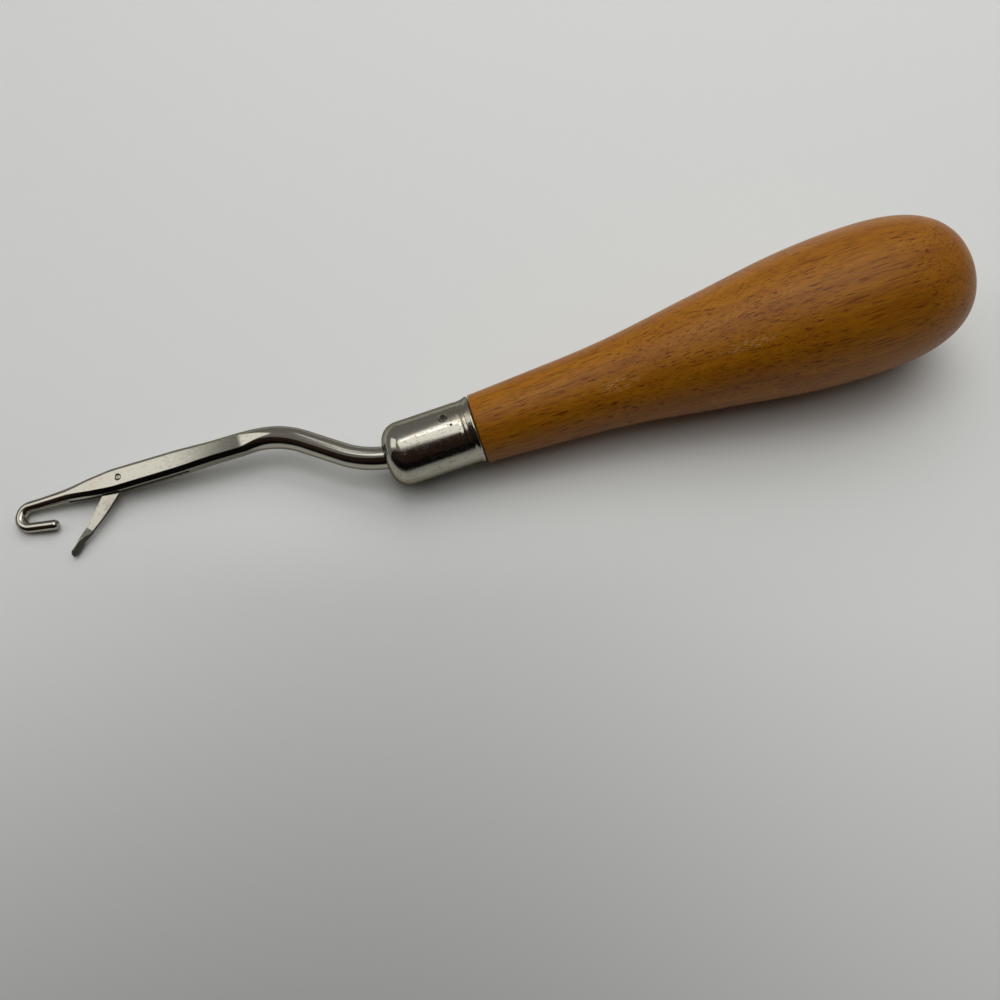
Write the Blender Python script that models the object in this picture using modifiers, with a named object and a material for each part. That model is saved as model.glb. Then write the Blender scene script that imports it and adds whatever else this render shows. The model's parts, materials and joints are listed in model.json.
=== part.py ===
"""Latch hook for rug making: turned handle, drawn ferrule, cranked needle and swinging latch.

The tool is drawn in its own frame. X runs along the handle's axis from the hook towards the
butt, Y points to the side that the blade is cranked to, Z is square to the blade's flats, and
the seam between ferrule and handle is at X = 0. At the end the whole tool is laid down on
Z = 0, where it rests on the handle's belly, the hook and the tip of the open latch.
"""

import math

import bmesh
import bpy
import numpy as np
from mathutils import Matrix, Vector

MM = 0.001
RIGHT_ANGLE = math.pi / 2

# Handle, turned in beech
HANDLE_LENGTH = 88.9 * MM
HANDLE_NECK_RADIUS = 6.15 * MM
HANDLE_BELLY_RADIUS = 13.0 * MM
HANDLE_BELLY_AT = 68.5 * MM
HANDLE_NECK_ROUND = 0.3 * MM
# The swell from the neck to the belly, as shares of the way and of the growth in radius
HANDLE_SWELL_SHARES = (
    (0.0, 0.0), (0.12, 0.065), (0.36, 0.225), (0.62, 0.595), (0.88, 0.945), (1.0, 1.0),
)
# The butt is a quarter of a superellipse: 2 would be round, and more is fuller
BUTT_FULLNESS = 2.75

# Ferrule, a drawn cup over the handle's spigot
FERRULE_LENGTH = 16.7 * MM
FERRULE_RADIUS = 5.8 * MM
FERRULE_WALL = 0.5 * MM
FERRULE_FRONT_ROUND = 3.4 * MM
FERRULE_LIP_RADIUS = 6.1 * MM
FERRULE_LIP_LENGTH = 1.3 * MM
FERRULE_LIP_ROUND = 0.3 * MM
SPIGOT_GAP = 0.15 * MM
SEAM_GAP = 0.1 * MM

# Staking dimple, punched through the ferrule's wall into the wood
DIMPLE_AT = 4.95 * MM
DIMPLE_TURN = math.radians(17.0)
PUNCH_RADIUS = 0.8 * MM
PUNCH_DEPTH = 0.45 * MM
NIB_RADIUS = 1.0 * MM
NIB_REACH = 0.3 * MM

# Needle: its centre line, from the end of the tang to the tip of the hook
WIRE_DIAMETER = 4.1 * MM
TANG_LENGTH = 38.0 * MM
TANG_CHAMFER = 0.6 * MM
TANG_GAP = 0.15 * MM
TANG_END_GAP = 0.6 * MM
SHANK_LENGTH = 13.0 * MM
CRANK_FIRST_RADIUS = 18.3 * MM
CRANK_ANGLE = math.radians(37.8)
CRANK_RISE_LENGTH = 7.4 * MM
CRANK_SECOND_RADIUS = 16.2 * MM
BLADE_SLOPE = math.radians(2.3)
PIVOT_FROM_CRANK = 24.6 * MM
HOOK_FROM_PIVOT = 17.5 * MM
HOOK_BEND_RADIUS = 2.04 * MM
HOOK_BEND_ANGLE = math.radians(170.5)
HOOK_RETURN_LENGTH = 5.3 * MM
HOOK_WIRE_DIAMETER = 2.08 * MM
HOOK_TIP_DIAMETER = 1.9 * MM

# Needle: its section on the blade, where the round wire is pressed flat
FLAT_BLEND_LENGTH = 5.5 * MM
FLAT_START_PAST_CRANK = 1.4 * MM
BLADE_WIDTH = 3.94 * MM
BLADE_THICKNESS = 3.3 * MM
BLADE_EDGE_RADIUS = 0.8 * MM
CHEEK_WIDTH = 4.4 * MM
CHEEK_EDGE_RADIUS = 0.74 * MM
CHEEK_START_BEHIND_PIVOT = 17.0 * MM
CHEEK_FULL_BEHIND_PIVOT = 11.0 * MM
NOSE_START_PAST_PIVOT = 1.4 * MM
NOSE_LENGTH = 13.4 * MM
# The nose from the cheeks to the hook's wire, as shares of its length, of the loss in width
# and of the loss in thickness, with the share by which the corners have become round
NOSE_SHARES = (
    (0.0, 0.0, 0.0, 0.0), (0.35, 0.35, 0.2, 0.2), (0.7, 0.82, 0.68, 1.0), (1.0, 1.0, 1.0, 1.0),
)

# Slot in the blade for the latch, sawn from the side of the hook's mouth
LATCH_THICKNESS = 0.58 * MM
LATCH_SIDE_GAP = 0.06 * MM
SAW_RADIUS = 10.0 * MM
SLOT_FRONT_PAST_PIVOT = 3.5 * MM
SLOT_BACK_BEHIND_PIVOT = 4.7 * MM
LATCH_HEEL_GAP = 0.12 * MM

# Rivet through both cheeks
RIVET_RADIUS = 0.45 * MM
RIVET_PRESS_GAP = 0.04 * MM
RIVET_RUNNING_GAP = 0.05 * MM
RIVET_RECESS = 0.05 * MM
RIVET_DOME = 0.08 * MM
CRATER_RADIUS = 0.62 * MM
CRATER_DEPTH = 0.1 * MM

# Latch: a strap that ends in a spoon, which closes over the tip of the hook
LATCH_REST_ANGLE = math.radians(226.0)
LATCH_LENGTH = 15.9 * MM
HEEL_LEADING_EDGE = 1.38 * MM
HEEL_TRAILING_EDGE = 1.05 * MM
STRAP_WIDEST_AT = 3.6 * MM
STRAP_LEADING_EDGE = 1.62 * MM
LATCH_FOLD_AT = 10.4 * MM
LATCH_STRAIGHT_BACK = 4.0 * MM
LATCH_BACK_CURVE = 2.2
FOLD_LEADING_EDGE = 0.92 * MM
FOLD_TRAILING_EDGE = 0.52 * MM
SPOON_WIDTH = 2.0 * MM
SPOON_WALL = 0.42 * MM
SPOON_CUP_DEPTH = 0.45 * MM
SPOON_RIM_LEADING = 0.62 * MM
SPOON_FULL_AT = 13.2 * MM
SPOON_TIP_ROUND = 1.3 * MM
# The heel starts, and the spoon ends, in a short straight edge, as shares of a right angle
HEEL_START_SHARE = 1 / 6
SPOON_END_SHARE = 0.9

CUT_OVERRUN = 1.0 * MM

# Fineness
TURNED_STEPS = 48
SMALL_STEPS = 24
SWELL_STEPS = 14
BUTT_STEPS = 10
ROUND_STEPS = 5
SMALL_ROUND_STEPS = 3
SECTION_CORNER_POINTS = 8
CRANK_RINGS = 7
HOOK_RINGS = 16
BLEND_RINGS = 3
CUP_POINTS = 7
SETTLING_STEPS = 40
# Rings of the needle closer together than this are one ring
RING_MERGE = 0.02 * MM
# Points closer together than this are one point
POINT_MERGE = 0.01 * MM


def clear_scene():
    """Remove every object, so that only the tool is left."""
    for obj in list(bpy.data.objects):
        bpy.data.objects.remove(obj, do_unlink=True)


def new_collection(name):
    """Make a collection in the scene."""
    collection = bpy.data.collections.new(name)
    bpy.context.scene.collection.children.link(collection)
    return collection


def new_material(name, colour, roughness, metallic):
    """A Principled material with one colour."""
    material = bpy.data.materials.new(name)
    material.use_nodes = True
    shader = material.node_tree.nodes["Principled BSDF"]
    shader.inputs["Base Color"].default_value = (*colour, 1.0)
    shader.inputs["Roughness"].default_value = roughness
    shader.inputs["Metallic"].default_value = metallic
    material.diffuse_color = (*colour, 1.0)
    return material


def add_object(name, mesh, collection, parent=None):
    """Wrap a mesh in a named object."""
    obj = bpy.data.objects.new(name, mesh)
    collection.objects.link(obj)
    obj.parent = parent
    return obj


def shade_round(obj, material, sharp_angle):
    """Give an object its material and smooth shading with crisp edges."""
    obj.data.materials.clear()
    obj.data.materials.append(material)
    obj.data.shade_smooth()
    obj.data.set_sharp_from_angle(angle=sharp_angle)


def turned(name, profile, steps, collection, parent=None):
    """Turn a profile of (radius, height) points about Z. They run down the outer side."""
    mesh = bpy.data.meshes.new(name)
    edges = [(i, i + 1) for i in range(len(profile) - 1)]
    mesh.from_pydata([(radius, 0.0, height) for radius, height in profile], edges, [])
    obj = add_object(name, mesh, collection, parent)
    screw = obj.modifiers.new("turn", "SCREW")
    screw.angle = math.tau
    screw.steps = steps
    screw.render_steps = steps
    screw.use_merge_vertices = True
    screw.merge_threshold = POINT_MERGE
    return apply_modifiers(obj)


def apply_modifiers(obj):
    """Replace an object's mesh by the mesh that its modifiers make."""
    bpy.context.view_layer.update()
    graph = bpy.context.evaluated_depsgraph_get()
    made = bpy.data.meshes.new_from_object(obj.evaluated_get(graph))
    old = obj.data
    obj.modifiers.clear()
    obj.data = made
    made.name = obj.name
    bpy.data.meshes.remove(old)
    return obj


def loft(name, rings, collection, parent=None):
    """Join rings of points, all with the same count, into one closed skin with flat caps."""
    shape = bmesh.new()
    rows = [[shape.verts.new(point) for point in ring] for ring in rings]
    for row, following in zip(rows, rows[1:]):
        for i in range(len(row)):
            j = (i + 1) % len(row)
            shape.faces.new((row[i], row[j], following[j], following[i]))
    shape.faces.new(rows[0][::-1])
    shape.faces.new(rows[-1])
    bmesh.ops.recalc_face_normals(shape, faces=shape.faces)
    mesh = bpy.data.meshes.new(name)
    shape.to_mesh(mesh)
    shape.free()
    return add_object(name, mesh, collection, parent)


def plate(name, outline, thickness, collection, parent=None):
    """A flat plate of a closed outline, centred on Z = 0."""
    curve = bpy.data.curves.new(name, "CURVE")
    curve.dimensions = "2D"
    curve.fill_mode = "BOTH"
    curve.extrude = thickness / 2
    spline = curve.splines.new("POLY")
    spline.points.add(len(outline) - 1)
    for point, (x, y) in zip(spline.points, outline):
        point.co = (x, y, 0.0, 1.0)
    spline.use_cyclic_u = True
    drawn = add_object(name + "_outline", curve, collection)
    bpy.context.view_layer.update()
    graph = bpy.context.evaluated_depsgraph_get()
    mesh = bpy.data.meshes.new_from_object(drawn.evaluated_get(graph))
    welded = bmesh.new()
    welded.from_mesh(mesh)
    bmesh.ops.remove_doubles(welded, verts=welded.verts, dist=POINT_MERGE)
    bmesh.ops.recalc_face_normals(welded, faces=welded.faces)
    welded.to_mesh(mesh)
    welded.free()
    bpy.data.objects.remove(drawn)
    return add_object(name, mesh, collection, parent)


def boolean(target, tool, operation):
    """Cut or join a target with a tool that stays in the scene as a hidden wire shape."""
    modifier = target.modifiers.new(tool.name, "BOOLEAN")
    modifier.operation = operation
    modifier.solver = "EXACT"
    modifier.object = tool
    tool.hide_render = True
    tool.display_type = "WIRE"


def arc(centre, radius, start, end, steps):
    """Points on an arc from one angle to another, both ends included."""
    return [
        (centre[0] + radius * math.cos(angle), centre[1] + radius * math.sin(angle))
        for angle in np.linspace(start, end, steps + 1)
    ]


def smooth_through(points, steps):
    """A curve through points in rising order: a cubic between each two, with mean slopes."""
    places = np.array([point[0] for point in points])
    values = np.array([point[1] for point in points])
    slopes = np.gradient(values, places)
    slopes[-1] = 0.0
    wanted = np.linspace(places[0], places[-1], steps + 1)
    index = np.clip(np.searchsorted(places, wanted, side="right") - 1, 0, len(places) - 2)
    span = places[index + 1] - places[index]
    t = (wanted - places[index]) / span
    rise = values[index + 1] - values[index]
    start = slopes[index] * span
    end = slopes[index + 1] * span
    curve = values[index] + start * t + (3 * rise - 2 * start - end) * t**2
    return wanted, curve + (start + end - 2 * rise) * t**3


def lay_along_handle(obj):
    """Turn an object made about Z so that its Z runs along the handle's axis."""
    obj.rotation_euler = (0.0, RIGHT_ANGLE, 0.0)


def spigot_radius():
    """The spigot fills the ferrule's bore less its gap."""
    return FERRULE_RADIUS - FERRULE_WALL - SPIGOT_GAP


def handle_profile():
    """The handle from the butt's pole, down its outside, over the spigot and up its bore."""
    butt_length = HANDLE_LENGTH - HANDLE_BELLY_AT
    profile = []
    for angle in np.linspace(RIGHT_ANGLE, 0.0, BUTT_STEPS, endpoint=False):
        across = math.cos(angle) ** (2 / BUTT_FULLNESS) if angle < RIGHT_ANGLE else 0.0
        along = math.sin(angle) ** (2 / BUTT_FULLNESS)
        profile.append((HANDLE_BELLY_RADIUS * across, HANDLE_BELLY_AT + butt_length * along))
    ways, growth = smooth_through(HANDLE_SWELL_SHARES, SWELL_STEPS)
    swell = HANDLE_BELLY_RADIUS - HANDLE_NECK_RADIUS
    for way, grown in zip(ways[:0:-1], growth[:0:-1]):
        profile.append((HANDLE_NECK_RADIUS + swell * grown, HANDLE_BELLY_AT * way))
    shoulder = SEAM_GAP
    profile += arc(
        (HANDLE_NECK_RADIUS - HANDLE_NECK_ROUND, shoulder + HANDLE_NECK_ROUND),
        HANDLE_NECK_ROUND, 0.0, -RIGHT_ANGLE, SMALL_ROUND_STEPS,
    )
    radius = spigot_radius()
    corner = FERRULE_FRONT_ROUND - FERRULE_WALL
    front = -(FERRULE_LENGTH - FERRULE_WALL - SPIGOT_GAP)
    profile.append((radius, shoulder))
    profile += arc((radius - corner, front + corner), corner, 0.0, -RIGHT_ANGLE, ROUND_STEPS)
    bore = WIRE_DIAMETER / 2 + TANG_GAP
    bottom = TANG_LENGTH + TANG_END_GAP
    profile.append((bore, front))
    profile.append((bore, bottom))
    profile.append((0.0, bottom + bore))
    return profile


def ferrule_profile():
    """The cup's wall from its inner pole, up the inside, over the lip and down to its front."""
    inside = FERRULE_RADIUS - FERRULE_WALL
    outer_corner = FERRULE_FRONT_ROUND
    inner_corner = FERRULE_FRONT_ROUND - FERRULE_WALL
    lip_flare = FERRULE_LIP_RADIUS - FERRULE_RADIUS
    front = -FERRULE_LENGTH
    profile = [(0.0, front + FERRULE_WALL)]
    inner_centre = (inside - inner_corner, front + outer_corner)
    profile += arc(inner_centre, inner_corner, -RIGHT_ANGLE, 0.0, ROUND_STEPS)
    profile.append((inside, 0.0))
    profile += arc(
        (FERRULE_LIP_RADIUS - FERRULE_LIP_ROUND, -FERRULE_LIP_ROUND),
        FERRULE_LIP_ROUND, RIGHT_ANGLE, 0.0, SMALL_ROUND_STEPS,
    )
    for share in np.linspace(0.0, 1.0, ROUND_STEPS)[1:]:
        eased = (1.0 + math.cos(math.pi * share)) / 2
        height = -FERRULE_LIP_ROUND - FERRULE_LIP_LENGTH * share
        profile.append((FERRULE_RADIUS + lip_flare * eased, height))
    outer_centre = (FERRULE_RADIUS - outer_corner, front + outer_corner)
    profile += arc(outer_centre, outer_corner, 0.0, -RIGHT_ANGLE, 2 * ROUND_STEPS)
    profile.append((0.0, front))
    return profile


def place_on_ferrule(obj):
    """Stand an object made about Z on the ferrule's axis, out through the staking dimple."""
    obj.location = (-DIMPLE_AT, 0.0, 0.0)
    obj.rotation_euler = (-DIMPLE_TURN, 0.0, 0.0)


def dome_profile(radius, top, bottom):
    """A plug with a flat top that bulges down, as an ellipse, to its bottom on the axis."""
    profile = [(0.0, top), (radius, top)]
    for angle in np.linspace(0.0, RIGHT_ANGLE, ROUND_STEPS + 1)[1:]:
        profile.append((radius * math.cos(angle), top - (top - bottom) * math.sin(angle)))
    profile[-1] = (0.0, bottom)
    return profile


def build_handle(parts, cutters, parent):
    """The turned handle, with a pocket where the ferrule's dimple bites into the spigot."""
    handle = turned("handle", handle_profile(), TURNED_STEPS, parts, parent)
    lay_along_handle(handle)
    nib_tip = FERRULE_RADIUS - FERRULE_WALL - NIB_REACH
    pocket = turned(
        "nib_pocket",
        dome_profile(NIB_RADIUS + SPIGOT_GAP, spigot_radius() + CUT_OVERRUN, nib_tip - SPIGOT_GAP),
        SMALL_STEPS, cutters, parent,
    )
    place_on_ferrule(pocket)
    boolean(handle, pocket, "DIFFERENCE")
    boolean(handle, build_shank_way("shank_way_in_handle", cutters, parent), "DIFFERENCE")
    shade_round(handle, new_material("beech", (0.47, 0.19, 0.035), 0.35, 0.0), math.radians(40.0))
    return handle


def build_ferrule(parts, cutters, parent):
    """The drawn cup, its dimple punched in and standing out inside as a nib."""
    ferrule = turned("ferrule", ferrule_profile(), TURNED_STEPS, parts, parent)
    lay_along_handle(ferrule)
    inside = FERRULE_RADIUS - FERRULE_WALL
    nib = turned(
        "punched_nib",
        dome_profile(NIB_RADIUS, inside + FERRULE_WALL / 2, inside - NIB_REACH),
        SMALL_STEPS, cutters, parent,
    )
    place_on_ferrule(nib)
    boolean(ferrule, nib, "UNION")
    punch = add_object("punch", bpy.data.meshes.new("punch"), cutters, parent)
    ball = bmesh.new()
    bmesh.ops.create_uvsphere(
        ball, u_segments=SMALL_STEPS, v_segments=SMALL_STEPS // 2, radius=PUNCH_RADIUS
    )
    lift = Vector((0.0, 0.0, FERRULE_RADIUS + PUNCH_RADIUS - PUNCH_DEPTH))
    bmesh.ops.translate(ball, verts=ball.verts, vec=lift)
    ball.to_mesh(punch.data)
    ball.free()
    place_on_ferrule(punch)
    boolean(ferrule, punch, "DIFFERENCE")
    boolean(ferrule, build_shank_way("shank_way_in_ferrule", cutters, parent), "DIFFERENCE")
    shade_round(ferrule, new_material("nickel_drawn", (0.62, 0.6, 0.55), 0.2, 1.0), math.radians(35.0))
    return ferrule


def needle_runs():
    """The centre line as (length, turn) runs: straights turn by nothing, bends by their angle."""
    crank_back = CRANK_ANGLE - BLADE_SLOPE
    return (
        (TANG_LENGTH + SHANK_LENGTH, 0.0),
        (CRANK_FIRST_RADIUS * CRANK_ANGLE, -CRANK_ANGLE),
        (CRANK_RISE_LENGTH, 0.0),
        (CRANK_SECOND_RADIUS * crank_back, crank_back),
        (PIVOT_FROM_CRANK + HOOK_FROM_PIVOT, 0.0),
        (HOOK_BEND_RADIUS * HOOK_BEND_ANGLE, HOOK_BEND_ANGLE),
        (HOOK_RETURN_LENGTH, 0.0),
    )


def along_needle(distance):
    """The point and heading of the centre line at a distance from the end of the tang."""
    x, y, heading = TANG_LENGTH, 0.0, math.pi
    left = distance
    for length, turn in needle_runs():
        step = min(left, length)
        turned_by = turn * step / length
        chord = step if turn == 0.0 else 2 * (length / turn) * math.sin(turned_by / 2)
        x += chord * math.cos(heading + turned_by / 2)
        y += chord * math.sin(heading + turned_by / 2)
        heading += turned_by
        left -= step
        if left <= 0.0:
            break
    return x, y, heading


def crank_end():
    """Distance along the needle at which the second bend of the crank ends."""
    return sum(length for length, _ in needle_runs()[:4])


def pivot_distance():
    """Distance along the needle of the latch's pivot."""
    return crank_end() + PIVOT_FROM_CRANK


def needle_length():
    """Distance along the needle of the tip of the hook."""
    return sum(length for length, _ in needle_runs())


def section_stations():
    """Sections as (distance, width, thickness, edge radius), in order along the needle."""
    wire = (WIRE_DIAMETER, WIRE_DIAMETER, WIRE_DIAMETER / 2)
    blade = (BLADE_WIDTH, BLADE_THICKNESS, BLADE_EDGE_RADIUS)
    cheek = (CHEEK_WIDTH, BLADE_THICKNESS, CHEEK_EDGE_RADIUS)
    chamfered = WIRE_DIAMETER - 2 * TANG_CHAMFER
    blade_start = crank_end() + FLAT_START_PAST_CRANK
    pivot = pivot_distance()
    stations = [
        (0.0, chamfered, chamfered, chamfered / 2),
        (TANG_CHAMFER, *wire),
        (blade_start - FLAT_BLEND_LENGTH, *wire),
        (blade_start, *blade),
        (pivot - CHEEK_START_BEHIND_PIVOT, *blade),
        (pivot - CHEEK_FULL_BEHIND_PIVOT, *cheek),
    ]
    nose = pivot + NOSE_START_PAST_PIVOT
    for way, narrower, thinner, rounder in NOSE_SHARES:
        width = CHEEK_WIDTH + narrower * (HOOK_WIRE_DIAMETER - CHEEK_WIDTH)
        thickness = BLADE_THICKNESS + thinner * (HOOK_WIRE_DIAMETER - BLADE_THICKNESS)
        fullest = min(width, thickness) / 2
        edge = CHEEK_EDGE_RADIUS + rounder * (fullest - CHEEK_EDGE_RADIUS)
        stations.append((nose + way * NOSE_LENGTH, width, thickness, edge))
    tip = HOOK_TIP_DIAMETER
    stations.append((needle_length() - HOOK_RETURN_LENGTH, tip, tip, tip / 2))
    stations.append((needle_length(), tip, tip, tip / 2))
    return stations


def ring_distances():
    """Where the needle's rings stand: at each station, along each bend and on the round tip."""
    places = {station[0] for station in section_stations()[:-1]}
    done = 0.0
    for length, turn in needle_runs():
        rings = 0 if turn == 0.0 else (HOOK_RINGS if turn == HOOK_BEND_ANGLE else CRANK_RINGS)
        places.update(done + length * share for share in np.linspace(0.0, 1.0, rings + 1))
        done += length
    stations = section_stations()
    for before, after in zip(stations[2:-2], stations[3:-2]):
        places.update(np.linspace(before[0], after[0], BLEND_RINGS + 1))
    tip_radius = HOOK_TIP_DIAMETER / 2
    places.discard(done)
    for angle in np.linspace(0.0, RIGHT_ANGLE, ROUND_STEPS + 1)[:-1]:
        places.add(done - tip_radius + tip_radius * math.sin(angle))
    ordered = np.array(sorted(places))
    return ordered[np.diff(ordered, append=math.inf) > RING_MERGE]


def needle_ring(distance):
    """One ring of the needle, shrunk to a half ball over the tip of the hook."""
    stations = np.array(section_stations())
    width, thickness, edge = (np.interp(distance, stations[:, 0], stations[:, i]) for i in (1, 2, 3))
    tip_radius = HOOK_TIP_DIAMETER / 2
    past = (distance - (needle_length() - tip_radius)) / tip_radius
    shrink = math.sqrt(1.0 - past**2) if past > 0.0 else 1.0
    return section_ring(distance, width * shrink, thickness * shrink, edge * shrink)


def section_ring(distance, width, thickness, edge):
    """A rounded rectangle square to the centre line, a circle where the edges take it all."""
    x, y, heading = along_needle(distance)
    across = (-math.sin(heading), math.cos(heading))
    ring = []
    for quarter in range(4):
        side_w = 1 if quarter in (0, 3) else -1
        side_t = 1 if quarter in (0, 1) else -1
        for step in range(SECTION_CORNER_POINTS):
            angle = RIGHT_ANGLE * (quarter + (step + 0.5) / SECTION_CORNER_POINTS)
            w = side_w * (width / 2 - edge) + edge * math.cos(angle)
            t = side_t * (thickness / 2 - edge) + edge * math.sin(angle)
            ring.append((x + w * across[0], y + w * across[1], t))
    return ring


def build_shank_way(name, cutters, parent):
    """The way that the shank takes out through the spigot and the ferrule's front."""
    start = TANG_LENGTH + SHANK_LENGTH - CUT_OVERRUN
    end = TANG_LENGTH + FERRULE_LENGTH + 2 * CUT_OVERRUN
    bore = WIRE_DIAMETER + 2 * TANG_GAP
    places = np.linspace(start, end, CRANK_RINGS)
    rings = [section_ring(place, bore, bore, bore / 2) for place in places]
    return loft(name, rings, cutters, parent)


def blade_frame():
    """The frame of the pivot: X along the blade towards the handle, Z square to its flats."""
    x, y, heading = along_needle(pivot_distance())
    return Matrix.Translation((x, y, 0.0)) @ Matrix.Rotation(heading - math.pi, 4, "Z")


def slot_outline():
    """The sawn slot: a saw plunged from the mouth side and fed along, so its ends run out."""
    depth = HEEL_LEADING_EDGE + LATCH_HEEL_GAP
    centre = depth - SAW_RADIUS
    low = -(CHEEK_WIDTH / 2 + CUT_OVERRUN)
    reach = math.acos((low - centre) / SAW_RADIUS)
    up = RIGHT_ANGLE
    front = arc((-SLOT_FRONT_PAST_PIVOT, centre), SAW_RADIUS, up + reach, up, SWELL_STEPS)
    back = arc((SLOT_BACK_BEHIND_PIVOT, centre), SAW_RADIUS, up, up - reach, SWELL_STEPS)
    return front + back


def rivet_hole_profile():
    """The hole for the rivet through both cheeks, with a shallow crater at each face."""
    face = BLADE_THICKNESS / 2
    hole = RIVET_RADIUS + RIVET_PRESS_GAP
    top = face + CUT_OVERRUN
    return [
        (0.0, top), (CRATER_RADIUS, top), (CRATER_RADIUS, face), (hole, face - CRATER_DEPTH),
        (hole, CRATER_DEPTH - face), (CRATER_RADIUS, -face), (CRATER_RADIUS, -top), (0.0, -top),
    ]


def build_needle(parts, cutters, parent):
    """The steel needle: tang, shank, crank, slotted blade, nose and hook in one piece."""
    needle = loft("hook_needle", [needle_ring(place) for place in ring_distances()], parts, parent)
    slot = plate("latch_slot", slot_outline(), LATCH_THICKNESS + 2 * LATCH_SIDE_GAP, cutters, parent)
    slot.matrix_local = blade_frame()
    hole = turned("rivet_hole", rivet_hole_profile(), SMALL_STEPS, cutters, parent)
    hole.matrix_local = blade_frame()
    boolean(needle, slot, "DIFFERENCE")
    boolean(needle, hole, "DIFFERENCE")
    shade_round(needle, new_material("nickel_needle", (0.66, 0.64, 0.6), 0.15, 1.0), math.radians(35.0))
    return needle


def build_rivet(parts, parent):
    """The rivet, a plain pin with domed ends just under the blade's faces."""
    end = BLADE_THICKNESS / 2 - RIVET_RECESS
    side = end - RIVET_DOME
    dome = [
        (RIVET_RADIUS * math.sin(angle), side + RIVET_DOME * math.cos(angle))
        for angle in np.linspace(0.0, RIGHT_ANGLE, ROUND_STEPS)
    ]
    dome[0] = (0.0, end)
    profile = dome + [(radius, -height) for radius, height in reversed(dome)]
    rivet = turned("latch_rivet", profile, SMALL_STEPS, parts, parent)
    rivet.matrix_local = blade_frame()
    shade_round(rivet, new_material("nickel_rivet", (0.55, 0.53, 0.5), 0.25, 1.0), math.radians(40.0))
    return rivet


def heel_radius():
    """The round heel is as wide as the strap at the pivot."""
    return (HEEL_LEADING_EDGE + HEEL_TRAILING_EDGE) / 2


def strap_edges(place):
    """The strap's leading and trailing edges at a place along the latch."""
    if place < 0.0:
        middle = (HEEL_TRAILING_EDGE - HEEL_LEADING_EDGE) / 2
        half = math.sqrt(max(heel_radius() ** 2 - place**2, 0.0))
        return middle - half, middle + half
    places = (0.0, STRAP_WIDEST_AT, LATCH_FOLD_AT)
    edges = (HEEL_LEADING_EDGE, STRAP_LEADING_EDGE, FOLD_LEADING_EDGE)
    leading = -np.interp(place, places, edges)
    way = max(place - LATCH_STRAIGHT_BACK, 0.0) / (LATCH_FOLD_AT - LATCH_STRAIGHT_BACK)
    trailing = HEEL_TRAILING_EDGE - (HEEL_TRAILING_EDGE - FOLD_TRAILING_EDGE) * way**LATCH_BACK_CURVE
    return leading, trailing


def latch_ring(place):
    """One ring of the latch: a bar across the strap that opens into a cup along the spoon."""
    leading, trailing = strap_edges(min(place, LATCH_FOLD_AT))
    spread = np.interp(place, (LATCH_FOLD_AT, SPOON_FULL_AT), (0.0, 1.0))
    eased = spread**2 * (3.0 - 2.0 * spread)
    half = (LATCH_THICKNESS + spread * (SPOON_WIDTH - LATCH_THICKNESS)) / 2
    rim = leading + spread * (-SPOON_RIM_LEADING - leading)
    wall = (trailing - leading) + eased * (SPOON_WALL - (trailing - leading))
    cup = spread * SPOON_CUP_DEPTH
    past = (place - (LATCH_LENGTH - SPOON_TIP_ROUND)) / SPOON_TIP_ROUND
    shrink = math.sqrt(1.0 - past**2) if past > 0.0 else 1.0
    half *= shrink
    cup *= shrink**2
    middle = rim + SPOON_CUP_DEPTH / 2 if past > 0.0 else rim
    rim = middle + (rim - middle) * shrink
    sides = np.linspace(-1.0, 1.0, CUP_POINTS)
    front = [(place, rim + cup * (1.0 - side**2), half * side) for side in sides]
    back = [(place, rim + wall + cup * (1.0 - side**2), half * side) for side in sides[::-1]]
    return front + back


def latch_places():
    """Where the latch's rings stand along it, from the round heel to the spoon's tip."""
    heel_turns = np.linspace(HEEL_START_SHARE * RIGHT_ANGLE, RIGHT_ANGLE, ROUND_STEPS + 1)[:-1]
    heel = [-heel_radius() * math.cos(turn) for turn in heel_turns]
    widening = [0.0, STRAP_WIDEST_AT]
    strap = list(np.linspace(LATCH_STRAIGHT_BACK, LATCH_FOLD_AT, 2 * ROUND_STEPS))
    opening = list(np.linspace(LATCH_FOLD_AT, SPOON_FULL_AT, ROUND_STEPS + 1)[1:])
    tip_turns = np.linspace(0.0, SPOON_END_SHARE * RIGHT_ANGLE, ROUND_STEPS + 1)
    tip_start = LATCH_LENGTH - SPOON_TIP_ROUND
    tip = [tip_start + SPOON_TIP_ROUND * math.sin(turn) for turn in tip_turns]
    return heel + widening + strap + opening + tip


def build_latch(parts, cutters, pivot):
    """The latch, drawn about its pivot: X along the strap, Y to its trailing edge."""
    latch = loft("latch", [latch_ring(place) for place in latch_places()], parts, pivot)
    bore = add_object("latch_bore", bpy.data.meshes.new("latch_bore"), cutters, pivot)
    drill = bmesh.new()
    radius = RIVET_RADIUS + RIVET_RUNNING_GAP
    bmesh.ops.create_cone(
        drill, cap_ends=True, segments=SMALL_STEPS, radius1=radius, radius2=radius,
        depth=LATCH_THICKNESS + 2 * CUT_OVERRUN,
    )
    drill.to_mesh(bore.data)
    drill.free()
    boolean(latch, bore, "DIFFERENCE")
    shade_round(latch, new_material("nickel_latch", (0.7, 0.66, 0.6), 0.25, 1.0), math.radians(35.0))
    return latch


def world_points(objects):
    """The evaluated corner points of some objects in world space."""
    bpy.context.view_layer.update()
    graph = bpy.context.evaluated_depsgraph_get()
    points = []
    for obj in objects:
        evaluated = obj.evaluated_get(graph)
        mesh = evaluated.to_mesh()
        local = np.empty(len(mesh.vertices) * 3)
        mesh.vertices.foreach_get("co", local)
        evaluated.to_mesh_clear()
        world = np.array(obj.matrix_world)
        points.append(local.reshape(-1, 3) @ world[:3, :3].T + world[:3, 3])
    return points


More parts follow.
